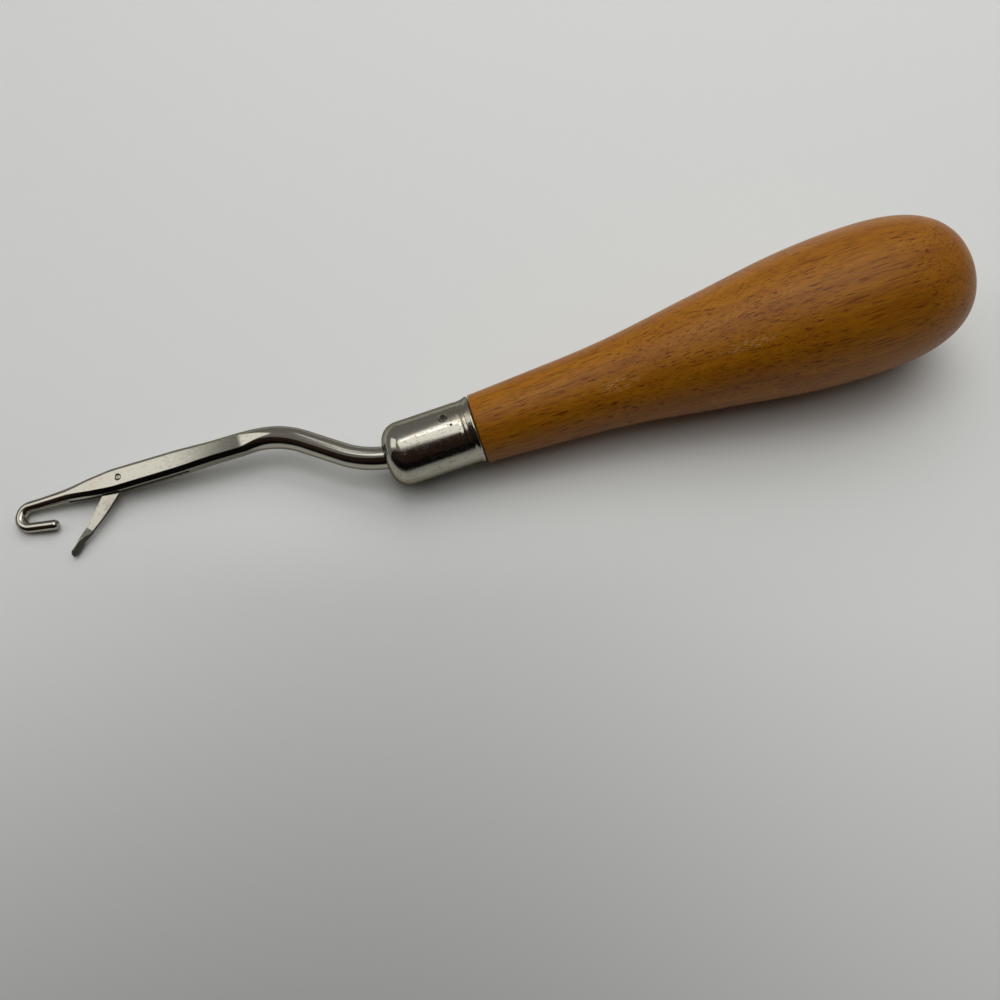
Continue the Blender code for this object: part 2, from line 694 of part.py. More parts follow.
def lay_down(tool, handle, needle, latch):
    """Turn the tool until handle, hook and latch all touch the ground, and centre it there."""
    bodies = world_points([handle, needle, latch])
    pivot_x = along_needle(pivot_distance())[0]
    bodies[1] = bodies[1][bodies[1][:, 0] < pivot_x]
    roll, pitch = 0.0, 0.0
    for _ in range(SETTLING_STEPS):
        turn = Matrix.Rotation(pitch, 3, "Y") @ Matrix.Rotation(roll, 3, "X")
        lows = []
        for points in bodies:
            turned_points = points @ np.array(turn).T
            lows.append(turned_points[np.argmin(turned_points[:, 2])])
        handle_low, hook_low, latch_low = lows
        pitch += (handle_low[2] - hook_low[2]) / (handle_low[0] - hook_low[0])
        roll += (hook_low[2] - latch_low[2]) / (latch_low[1] - hook_low[1])
    tool.rotation_euler = (roll, pitch, 0.0)
    points = np.concatenate(world_points([handle, needle, latch]))
    low, high = points.min(axis=0), points.max(axis=0)
    tool.location = (-(low[0] + high[0]) / 2, -(low[1] + high[1]) / 2, -low[2])


def main():
    """Build the tool and lay it on the ground."""
    clear_scene()
    parts = new_collection("latch_hook")
    cutters = new_collection("latch_hook_cutters")
    tool = add_object("tool", None, parts)
    handle = build_handle(parts, cutters, tool)
    build_ferrule(parts, cutters, tool)
    needle = build_needle(parts, cutters, tool)
    build_rivet(parts, tool)
    pivot = add_object("latch_pivot", None, parts, tool)
    x, y, _ = along_needle(pivot_distance())
    pivot.matrix_local = Matrix.Translation((x, y, 0.0)) @ Matrix.Rotation(LATCH_REST_ANGLE, 4, "Z")
    latch = build_latch(parts, cutters, pivot)
    lay_down(tool, handle, needle, latch)


main()
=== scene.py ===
"""Latch hook on a pale table: lacquered beech, drawn nickel ferrule, cranked needle and latch.

Every piece is drawn in the tool's own frame and then laid where the frame's latch joint says.
There X runs along the handle's axis from the hook to the butt, Y points to the side that the
blade is cranked to, Z is square to the blade's flats, and the ferrule ends at X = 0.
"""

import json
import logging
import math
from dataclasses import dataclass
from enum import Enum

import bpy
import numpy as np
from mathutils import Matrix, Vector

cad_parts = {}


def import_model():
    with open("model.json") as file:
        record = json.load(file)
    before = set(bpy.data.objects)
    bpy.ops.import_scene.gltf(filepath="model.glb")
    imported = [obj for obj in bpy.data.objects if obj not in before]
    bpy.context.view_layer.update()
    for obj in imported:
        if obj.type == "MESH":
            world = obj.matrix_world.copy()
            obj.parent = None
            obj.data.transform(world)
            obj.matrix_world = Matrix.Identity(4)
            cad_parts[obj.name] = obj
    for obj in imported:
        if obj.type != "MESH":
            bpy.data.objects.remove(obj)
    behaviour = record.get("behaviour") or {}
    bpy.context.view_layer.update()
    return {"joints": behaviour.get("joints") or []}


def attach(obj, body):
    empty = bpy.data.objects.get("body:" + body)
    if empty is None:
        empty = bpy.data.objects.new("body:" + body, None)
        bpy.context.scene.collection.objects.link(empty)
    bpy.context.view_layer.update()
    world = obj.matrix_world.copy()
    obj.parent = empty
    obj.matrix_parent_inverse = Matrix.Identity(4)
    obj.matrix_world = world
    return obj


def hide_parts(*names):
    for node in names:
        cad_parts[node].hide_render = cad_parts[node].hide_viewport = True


MM = 0.001
RIGHT_ANGLE = math.pi / 2
SHARP_FROM = math.radians(50.0)
PARTS_OF_A_STEP = 40
PLACE_DECIMALS = 7
MADE_AT = "made_at"
# The point attribute of painted shade: how dark a point is painted where shade falls.
PAINTED_SHADE = "painted_shade"
LOG = logging.getLogger("latch_hook")

# A Mix node's colour sockets go by number, since its value sockets have the same names.
MIX_SHARE, MIX_FIRST, MIX_SECOND, MIX_RESULT = 0, 6, 7, 2

Pair = tuple[float, float]
Triple = tuple[float, float, float]
Tree = bpy.types.NodeTree
Socket = bpy.types.NodeSocket


class Ends(Enum):
    """How a skin of rings is closed."""

    CAPPED = "a point in the middle closes the first ring and the last"
    JOINED = "the last ring joins the first"


class Ray(Enum):
    """Kinds of light path that a stage piece can be hidden from."""

    CAMERA = "visible_camera"
    GLOSSY = "visible_glossy"


@dataclass(frozen=True)
class ToolFrame:
    """Where the tool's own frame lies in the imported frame.

    Attributes:
        axes: The tool's X, Y and Z axes as the columns of a 3 by 3 array.
        origin: The point on the handle's axis at the ferrule's rear end.
    """

    axes: np.ndarray
    origin: np.ndarray

    @classmethod
    def from_joint(cls, joint: dict, pivot: np.ndarray) -> "ToolFrame":
        """Work the frame out from the latch's joint, whose axis is the tool's Z.

        The tool lies on the table turned by a roll about X and then a pitch about Y, so its
        X axis has no Y part. That and the Z axis give both angles.

        Args:
            joint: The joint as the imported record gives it.
            pivot: The joint's place in the tool's own frame.

        Returns:
            The tool's frame.
        """
        up = np.array(joint["axis"], float)
        up /= np.linalg.norm(up)
        pitch = math.atan2(up[0], up[2])
        along = np.array([math.cos(pitch), 0.0, -math.sin(pitch)])
        axes = np.stack([along, np.cross(up, along), up], axis=1)
        return cls(axes, np.array(joint["pos_m"], float) - axes @ pivot)

    def lay(self, points: np.ndarray) -> np.ndarray:
        """Take points of the tool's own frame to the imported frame."""
        return points @ self.axes.T + self.origin


def arc_points(centre: Pair, radius: float, start: float, end: float, steps: int) -> np.ndarray:
    """Points on an arc: the centre plus the radius times cosine and sine of even angles.

    Args:
        centre: The arc's centre.
        radius: Its radius.
        start: Its first angle.
        end: Its last angle.
        steps: The number of steps between them.

    Returns:
        An array of steps + 1 points.
    """
    angle = np.linspace(start, end, steps + 1)
    return np.stack([centre[0] + radius * np.cos(angle), centre[1] + radius * np.sin(angle)], axis=1)


def line_points(start: Pair, end: Pair, steps: int) -> np.ndarray:
    """Points on a straight line, its start left out and its end kept.

    Args:
        start: The line's first point.
        end: Its last point.
        steps: The number of steps between them.

    Returns:
        An array of steps points.
    """
    share = np.linspace(0.0, 1.0, steps + 1)[1:, None]
    return np.array(start) + share * (np.array(end) - np.array(start))


def smooth_through(points: tuple, wanted: np.ndarray) -> np.ndarray:
    """Read a smooth curve through points: a cubic between each two, with mean slopes.

    Args:
        points: Pairs of place and value, with the places rising.
        wanted: The places to read.

    Returns:
        The curve's values there. Its slope at the last point is zero.
    """
    places, values = np.array(points, float).T
    slopes = np.gradient(values, places)
    slopes[-1] = 0.0
    index = np.clip(np.searchsorted(places, wanted, side="right") - 1, 0, len(places) - 2)
    span = places[index + 1] - places[index]
    t = (wanted - places[index]) / span
    rise = values[index + 1] - values[index]
    start = slopes[index] * span
    end = slopes[index + 1] * span
    return values[index] + start * t + (3 * rise - 2 * start - end) * t**2 + (start + end - 2 * rise) * t**3


def eased(share: np.ndarray) -> np.ndarray:
    """Ease a share in and out: its square times three less twice itself."""
    return share**2 * (3.0 - 2.0 * share)


def crowded(start: float, end: float, steps: int, centre: float, reach: float, crowding: float) -> np.ndarray:
    """Places from start to end that crowd together round a centre.

    The density of the places is one plus the crowding times a bell curve of the reach, and
    the places are read where the running sum of that density has grown by equal parts.

    Args:
        start: The first place.
        end: The last place.
        steps: The number of steps.
        centre: Where the places crowd.
        reach: The bell curve's half width.
        crowding: How many times denser they are there.

    Returns:
        An array of steps + 1 places.
    """
    fine = np.linspace(start, end, PARTS_OF_A_STEP * steps + 1)
    density = 1.0 + crowding * np.exp(-(((fine - centre) / reach) ** 2))
    total = np.concatenate([[0.0], np.cumsum((density[1:] + density[:-1]) / 2)])
    return np.interp(np.linspace(0.0, total[-1], steps + 1), total, fine)


def skin(
    name: str, rings: np.ndarray, made_at: np.ndarray, ends: Ends, sharp_from: float = SHARP_FROM
) -> bpy.types.Object:
    """Make one closed smooth mesh of rings of points, with its outside out.

    Point j of ring i is joined to its neighbours i + 1 and j + 1, and each ring closes on
    itself. A mesh whose signed volume is negative is turned inside out.

    Args:
        name: The piece's name.
        rings: Its points, as rings by points by 3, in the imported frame.
        made_at: The same points as the piece was made, before it was bent or laid down.
        ends: How the first and last rings are closed.
        sharp_from: The angle from which an edge is shaded as a sharp one.

    Returns:
        The new object, with the as-made points in a vector attribute.
    """
    count, around = rings.shape[:2]
    points = rings.reshape(-1, 3)
    made = made_at.reshape(-1, 3)
    index = np.arange(count * around).reshape(count, around)
    onward = np.roll(index, -1, axis=1)
    if ends is Ends.JOINED:
        following, following_onward = np.roll(index, -1, axis=0), np.roll(onward, -1, axis=0)
        quads = np.stack([index, onward, following_onward, following], axis=-1).reshape(-1, 4)
        faces = quads.tolist()
    else:
        quads = np.stack([index[:-1], onward[:-1], onward[1:], index[1:]], axis=-1).reshape(-1, 4)
        first, last = len(points), len(points) + 1
        start_fan = np.stack([onward[0], index[0], np.full(around, first)], axis=-1)
        end_fan = np.stack([index[-1], onward[-1], np.full(around, last)], axis=-1)
        faces = quads.tolist() + start_fan.tolist() + end_fan.tolist()
        points = np.concatenate([points, rings[[0, -1]].mean(axis=1)])
        made = np.concatenate([made, made_at[[0, -1]].mean(axis=1)])
    mesh = bpy.data.meshes.new(name)
    mesh.from_pydata(points, [], faces)
    attribute = mesh.attributes.new(MADE_AT, "FLOAT_VECTOR", "POINT")
    attribute.data.foreach_set("vector", made.astype(np.float32).ravel())
    corners = points[quads]
    volume = np.einsum("ij,ij->", corners[:, 0], np.cross(corners[:, 1], corners[:, 2]))
    volume += np.einsum("ij,ij->", corners[:, 0], np.cross(corners[:, 2], corners[:, 3]))
    if volume < 0.0:
        mesh.flip_normals()
    mesh.shade_smooth()
    mesh.set_sharp_from_angle(angle=sharp_from)
    obj = bpy.data.objects.new(name, mesh)
    bpy.context.scene.collection.objects.link(obj)
    return obj


def set_painted_shade(obj: bpy.types.Object, levels: np.ndarray, *ends: float) -> None:
    """Write how dark each point of a piece is painted, from 0 to 1, as painted shade for its material to
    read.

    Args:
        obj: The piece.
        levels: The levels of its rings' points.
        ends: The levels of the points that close its two ends, where it has them.
    """
    attribute = obj.data.attributes.new(PAINTED_SHADE, "FLOAT", "POINT")
    attribute.data.foreach_set("value", np.append(levels.ravel(), ends).astype(np.float32))


def finish_piece(
    obj: bpy.types.Object, body: str, node: str, material: bpy.types.Material
) -> None:
    """Dress a piece and hand it to the frame.

    Args:
        obj: The finished piece.
        body: The body that it rides on.
        node: The node that it stands for.
        material: Its finish.
    """
    obj.data.materials.clear()
    obj.data.materials.append(material)
    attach(obj, body)
    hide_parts(node)
    LOG.info("%s: %d faces, rides on %s, stands for %s", obj.name, len(obj.data.polygons), body, node)


def put(tree: Tree, kind: str, inputs: dict | None = None, **settings: object) -> bpy.types.Node:
    """Put a node in a tree, with its settings and what feeds its sockets.

    Args:
        tree: The node tree.
        kind: The node's type.
        inputs: Socket name or number to a value, or to the output that feeds it.
        **settings: The node's own properties.

    Returns:
        The new node.
    """
    node = tree.nodes.new(kind)
    for name, value in settings.items():
        setattr(node, name, value)
    for name, value in (inputs or {}).items():
        socket = node.inputs[name]
        if isinstance(value, Socket):
            tree.links.new(value, socket)
        else:
            socket.default_value = value
    return node


def calculate(tree: Tree, operation: str, *values: Socket | float) -> Socket:
    """Put a Math node in a tree and give its output."""
    return put(tree, "ShaderNodeMath", dict(enumerate(values)), operation=operation).outputs[0]


def combine(tree: Tree, operation: str, *values: Socket | Triple) -> Socket:
    """Put a Vector Math node in a tree and give its vector output."""
    return put(tree, "ShaderNodeVectorMath", dict(enumerate(values)), operation=operation).outputs[0]


def ramp(
    tree: Tree,
    value: Socket,
    start: Socket | float,
    end: Socket | float,
    soft: bool = True,
    top: float = 1.0,
) -> Socket:
    """Put a ramp in a tree: nothing up to its start, its top from its end on.

    Args:
        tree: The node tree.
        value: What the ramp reads.
        start: The value at which it starts.
        end: The value at which it ends.
        soft: Whether it eases in and out.
        top: What it reaches.

    Returns:
        The ramp's output.
    """
    feeds = {"Value": value, "From Min": start, "From Max": end, "To Max": top}
    kind = "SMOOTHSTEP" if soft else "LINEAR"
    return put(tree, "ShaderNodeMapRange", feeds, interpolation_type=kind).outputs[0]


def blend_colours(tree: Tree, share: Socket, first: Socket | Triple, second: Triple) -> Socket:
    """Mix two colours by a share and give the result.

    Args:
        tree: The node tree.
        share: How much of the second colour there is.
        first: The first colour.
        second: The second colour.

    Returns:
        The mixed colour's output.
    """
    base = first if isinstance(first, Socket) else (*first, 1.0)
    feeds = {MIX_SHARE: share, MIX_FIRST: base, MIX_SECOND: (*second, 1.0)}
    return put(tree, "ShaderNodeMix", feeds, data_type="RGBA").outputs[MIX_RESULT]


def new_group(name: str, inputs: dict[str, float | None], outputs: tuple[str, ...]) -> tuple:
    """Start a shader node group with named inputs and value outputs.

    Args:
        name: The group's name.
        inputs: Input name to its default value, or to None for a vector.
        outputs: The names of its value outputs.

    Returns:
        The group's tree, the outputs of its input node and the inputs of its output node.
    """
    group = bpy.data.node_groups.new(name, "ShaderNodeTree")
    for socket_name, default in inputs.items():
        kind = "NodeSocketVector" if default is None else "NodeSocketFloat"
        socket = group.interface.new_socket(socket_name, in_out="INPUT", socket_type=kind)
        if default is not None:
            socket.default_value = default
    for socket_name in outputs:
        group.interface.new_socket(socket_name, in_out="OUTPUT", socket_type="NodeSocketFloat")
    return group, group.nodes.new("NodeGroupInput").outputs, group.nodes.new("NodeGroupOutput").inputs


def new_material(name: str) -> tuple[bpy.types.Material, Tree, bpy.types.Node]:
    """Start a material and give it with its tree and its Principled shader."""
    material = bpy.data.materials.new(name)
    material.use_nodes = True
    return material, material.node_tree, material.node_tree.nodes["Principled BSDF"]


def made_places(tree: Tree) -> Socket:
    """Give the output with the places that a piece's points had as it was made."""
    return put(tree, "ShaderNodeAttribute", attribute_name=MADE_AT).outputs["Vector"]


class Effects:
    """The shader node groups that the finishes share."""

    def __init__(self) -> None:
        """Build each group once."""
        self.streaks = self.build_streaks()
        self.worn_edges = self.build_worn_edges()

    def build_streaks(self) -> Tree:
        """Streaks along X: noise on places divided by a length and a width, cut at a level.

        Returns:
            The group.
        """
        values = {"Place": None, "Length": 10 * MM, "Width": MM, "Level": 0.5, "Softness": 0.2, "Seed": 0.0}
        group, given, out = new_group("Streaks", values, ("Mask", "Noise"))
        sizes = {0: given["Length"], 1: given["Width"], 2: given["Width"]}
        stretch = put(group, "ShaderNodeCombineXYZ", sizes).outputs[0]
        place = combine(group, "DIVIDE", given["Place"], stretch)
        feeds = {"Vector": place, "W": given["Seed"], "Scale": 1.0}
        noise = put(group, "ShaderNodeTexNoise", feeds, noise_dimensions="4D").outputs[0]
        end = calculate(group, "ADD", given["Level"], given["Softness"])
        group.links.new(ramp(group, noise, given["Level"], end), out["Mask"])
        group.links.new(noise, out["Noise"])
        return group

    def build_worn_edges(self) -> Tree:
        """Worn edges: how pointed the surface is, cut at a level.

        Returns:
            The group.
        """
        group, given, out = new_group("Worn edges", {"Level": 0.52, "Softness": 0.1}, ("Mask",))
        pointed = put(group, "ShaderNodeNewGeometry").outputs["Pointiness"]
        end = calculate(group, "ADD", given["Level"], given["Softness"])
        group.links.new(ramp(group, pointed, given["Level"], end, soft=False), out["Mask"])
        return group


@dataclass(frozen=True)
class Marks:
    """One kind of mark that runs along a piece.

    Attributes:
        length: How long the marks are.
        width: How wide they are.
        level: Where the noise is cut. A higher level leaves fewer marks.
        softness: How soft their edges are.
        seed: Which noise they come from.
        weight: How strongly they show, from 0 to 1.
    """

    length: float
    width: float
    level: float
    softness: float
    seed: float
    weight: float = 1.0

    def add(self, tree: Tree, effects: Effects, place: Socket) -> tuple[Socket, Socket]:
        """Put the streaks group in a material with these values.

        Args:
            tree: The material's tree.
            effects: The shared node groups.
            place: The output with the as-made places.

        Returns:
            The mask times the weight, and the bare noise.
        """
        feeds = {
            "Place": place,
            "Length": self.length,
            "Width": self.width,
            "Level": self.level,
            "Softness": self.softness,
            "Seed": self.seed,
        }
        node = put(tree, "ShaderNodeGroup", feeds, node_tree=effects.streaks)
        return calculate(tree, "MULTIPLY", node.outputs["Mask"], self.weight), node.outputs["Noise"]


@dataclass(frozen=True)
class Spot:
    """A soft patch on a piece, inside an ellipsoid.

    Attributes:
        middle: The ellipsoid's middle, as an as-made place.
        reach: Its half axes.
    """

    middle: Triple
    reach: Triple

    def add(self, tree: Tree, place: Socket) -> Socket:
        """Put the patch's mask in a material: one within half its reach, and zero past it.

        Args:
            tree: The material's tree.
            place: The output with the as-made places.

        Returns:
            The mask.
        """
        way = combine(tree, "DIVIDE", combine(tree, "SUBTRACT", place, self.middle), self.reach)
        length = put(tree, "ShaderNodeVectorMath", {0: way}, operation="LENGTH").outputs["Value"]
        return ramp(tree, length, 1.0, 0.5)


@dataclass(frozen=True)
class LacqueredBeech:
    """Turned beech under a thin satin lacquer.

    Attributes:
        light: The colour between the rays.
        deep: The colour of the darker growth.
        fleck: The colour of the short ray flecks.
        scratch_and_glint: The light colour of fine scratches in the lacquer: real scratches, partly a painted
            highlight of their glint in the sheen.
        growth: The broad growth bands.
        figure: The fine figure, which also stands up from the surface a little.
        dark_marks: Pores, flecks and dashes, all of the flecks' colour.
        scuffs: The small scuffs that make the lacquer matt, and are painted lighter in the patches.
        scratches_and_glints: The patches along the handle's sheen in which the scuffs are painted light,
            partly as a painted highlight.
        dot: The small dark dot on the near side.
        scratch_and_glint_weight: How much of the scratches' light colour there is.
        roughness: How matt the lacquer is.
        scuff_roughness: How much more matt its scuffs are.
        mirroring: How strongly it mirrors.
        figure_height: How high the figure stands, as a share of a mark's depth.
        relief_strength: How strongly the relief shows.
        relief_depth: The depth of a mark.
    """

    light: Triple = (0.395, 0.147, 0.003)
    deep: Triple = (0.265, 0.085, 0.002)
    fleck: Triple = (0.095, 0.018, 0.001)
    scratch_and_glint: Triple = (0.62, 0.43, 0.24)
    growth: Marks = Marks(length=60 * MM, width=2.6 * MM, level=0.35, softness=0.3, seed=1.0, weight=0.5)
    figure: Marks = Marks(length=14 * MM, width=0.55 * MM, level=0.42, softness=0.25, seed=2.0, weight=0.5)
    dark_marks: tuple[Marks, ...] = (
        Marks(length=1.6 * MM, width=0.12 * MM, level=0.44, softness=0.22, seed=6.0, weight=0.24),
        Marks(length=5.0 * MM, width=0.15 * MM, level=0.58, softness=0.05, seed=3.0, weight=0.6),
        Marks(length=9.0 * MM, width=0.23 * MM, level=0.595, softness=0.04, seed=4.0, weight=0.9),
    )
    scuffs: Marks = Marks(length=0.9 * MM, width=0.16 * MM, level=0.55, softness=0.08, seed=5.0)
    scratches_and_glints: tuple[Spot, Spot] = (
        Spot((47.0 * MM, -5.1 * MM, 9.45 * MM), (12.0 * MM, 1.1 * MM, 1.1 * MM)),
        Spot((25.5 * MM, -3.45 * MM, 6.86 * MM), (4.5 * MM, 1.5 * MM, 1.5 * MM)),
    )
    dot: Spot = Spot((25.5 * MM, -7.73 * MM, 0.0), (0.45 * MM, 0.6 * MM, 0.45 * MM))
    scratch_and_glint_weight: float = 0.55
    roughness: float = 0.36
    scuff_roughness: float = 0.14
    mirroring: float = 0.2
    figure_height: float = 0.4
    relief_strength: float = 0.4
    relief_depth: float = 0.02 * MM

    def build(self, effects: Effects) -> bpy.types.Material:
        """Make the material: growth bands, figure, pores, flecks, dashes and scratches.

        Args:
            effects: The shared node groups.

        Returns:
            The material.
        """
        material, tree, shader = new_material("lacquered_beech")
        place = made_places(tree)
        growth, _ = self.growth.add(tree, effects, place)
        figure, figure_noise = self.figure.add(tree, effects, place)
        colour = blend_colours(tree, calculate(tree, "ADD", growth, figure), self.light, self.deep)
        marks = self.dot.add(tree, place)
        for kind in self.dark_marks:
            marks = calculate(tree, "MAXIMUM", marks, kind.add(tree, effects, place)[0])
        colour = blend_colours(tree, marks, colour, self.fleck)
        scuffs, _ = self.scuffs.add(tree, effects, place)
        # Scratches painted light along the sheen: real scuffs, partly a painted highlight of their glint.
        patches = calculate(tree, "MAXIMUM", *(patch.add(tree, place) for patch in self.scratches_and_glints))
        scratches_and_glints = calculate(tree, "MULTIPLY", scuffs, patches)
        share = calculate(tree, "MULTIPLY", scratches_and_glints, self.scratch_and_glint_weight)
        tree.links.new(blend_colours(tree, share, colour, self.scratch_and_glint), shader.inputs["Base Color"])
        rough = calculate(tree, "MULTIPLY_ADD", scuffs, self.scuff_roughness, self.roughness)
        tree.links.new(rough, shader.inputs["Roughness"])
        height = calculate(tree, "MULTIPLY", figure_noise, self.figure_height)
        height = calculate(tree, "SUBTRACT", height, calculate(tree, "ADD", marks, scratches_and_glints))
        relief = {"Height": height, "Strength": self.relief_strength, "Distance": self.relief_depth}
        tree.links.new(put(tree, "ShaderNodeBump", relief).outputs[0], shader.inputs["Normal"])
        shader.inputs["Specular IOR Level"].default_value = self.mirroring
        return material


@dataclass(frozen=True)
class NickelPlate:
    """Nickel plate on steel, brushed along the piece and a little stained.

    Attributes:
        name: The material's name.
        colour: The clean plate's colour.
        stain: The colour of tarnish in specks and patches.
        painted_shade: The near black of painted shade, in the slot, the ferrule's dimple and pit, and the
            latch's back.
        worn: The colour of rubbed edges.
        glancing: The tint of what the plate mirrors at a glancing angle.
        specks: The small tarnished specks.
        patches: The larger tarnished patches.
        lines: The fine lines along the piece. Their weight is how much more matt they are.
        speckle: How strongly the tarnish shows, from 0 to 1.
        wear: How much of the worn colour there is on an edge.
        roughness: How matt the clean plate is.
        stain_roughness: How much more matt tarnish and the painted shade are.
        relief_strength: How strongly the fine lines show.
        brushing: Their depth.
    """

    name: str
    colour: Triple = (0.45, 0.43, 0.365)
    stain: Triple = (0.27, 0.21, 0.14)
    # The painted shade's colour, near black.
    painted_shade: Triple = (0.012, 0.01, 0.008)
    worn: Triple = (0.58, 0.56, 0.5)
    glancing: Triple = (0.3, 0.29, 0.26)
    specks: Marks = Marks(length=0.7 * MM, width=0.3 * MM, level=0.55, softness=0.12, seed=3.0)
    patches: Marks = Marks(length=6 * MM, width=2.5 * MM, level=0.5, softness=0.2, seed=4.0, weight=0.5)
    lines: Marks = Marks(length=5 * MM, width=0.05 * MM, level=0.4, softness=0.3, seed=5.0, weight=0.04)
    speckle: float = 0.3
    wear: float = 0.4
    roughness: float = 0.16
    stain_roughness: float = 0.22
    relief_strength: float = 0.5
    brushing: float = 0.004 * MM

    def build(self, effects: Effects) -> bpy.types.Material:
        """Make the material: clean plate, stained specks and patches, lines along the piece.

        Args:
            effects: The shared node groups.

        Returns:
            The material.
        """
        material, tree, shader = new_material(self.name)
        place = made_places(tree)
        specks, _ = self.specks.add(tree, effects, place)
        patches, _ = self.patches.add(tree, effects, place)
        lines, line_noise = self.lines.add(tree, effects, place)
        stained = calculate(tree, "MULTIPLY", calculate(tree, "ADD", specks, patches), self.speckle)
        colour = blend_colours(tree, stained, self.colour, self.stain)
        edges = put(tree, "ShaderNodeGroup", node_tree=effects.worn_edges).outputs[0]
        colour = blend_colours(tree, calculate(tree, "MULTIPLY", edges, self.wear), colour, self.worn)
        # Painted shade: where a piece marks it, the colour goes near black and stops being metal.
        painted_shade = put(tree, "ShaderNodeAttribute", attribute_name=PAINTED_SHADE).outputs["Fac"]
        tree.links.new(blend_colours(tree, painted_shade, colour, self.painted_shade), shader.inputs["Base Color"])
        tree.links.new(calculate(tree, "SUBTRACT", 1.0, painted_shade), shader.inputs["Metallic"])
        shader.inputs["Specular Tint"].default_value = (*self.glancing, 1.0)
        matt = calculate(tree, "MULTIPLY", calculate(tree, "ADD", stained, painted_shade), self.stain_roughness)
        matt = calculate(tree, "ADD", calculate(tree, "ADD", matt, lines), self.roughness)
        tree.links.new(matt, shader.inputs["Roughness"])
        relief = {"Height": line_noise, "Strength": self.relief_strength, "Distance": self.brushing}
        tree.links.new(put(tree, "ShaderNodeBump", relief).outputs[0], shader.inputs["Normal"])
        return material


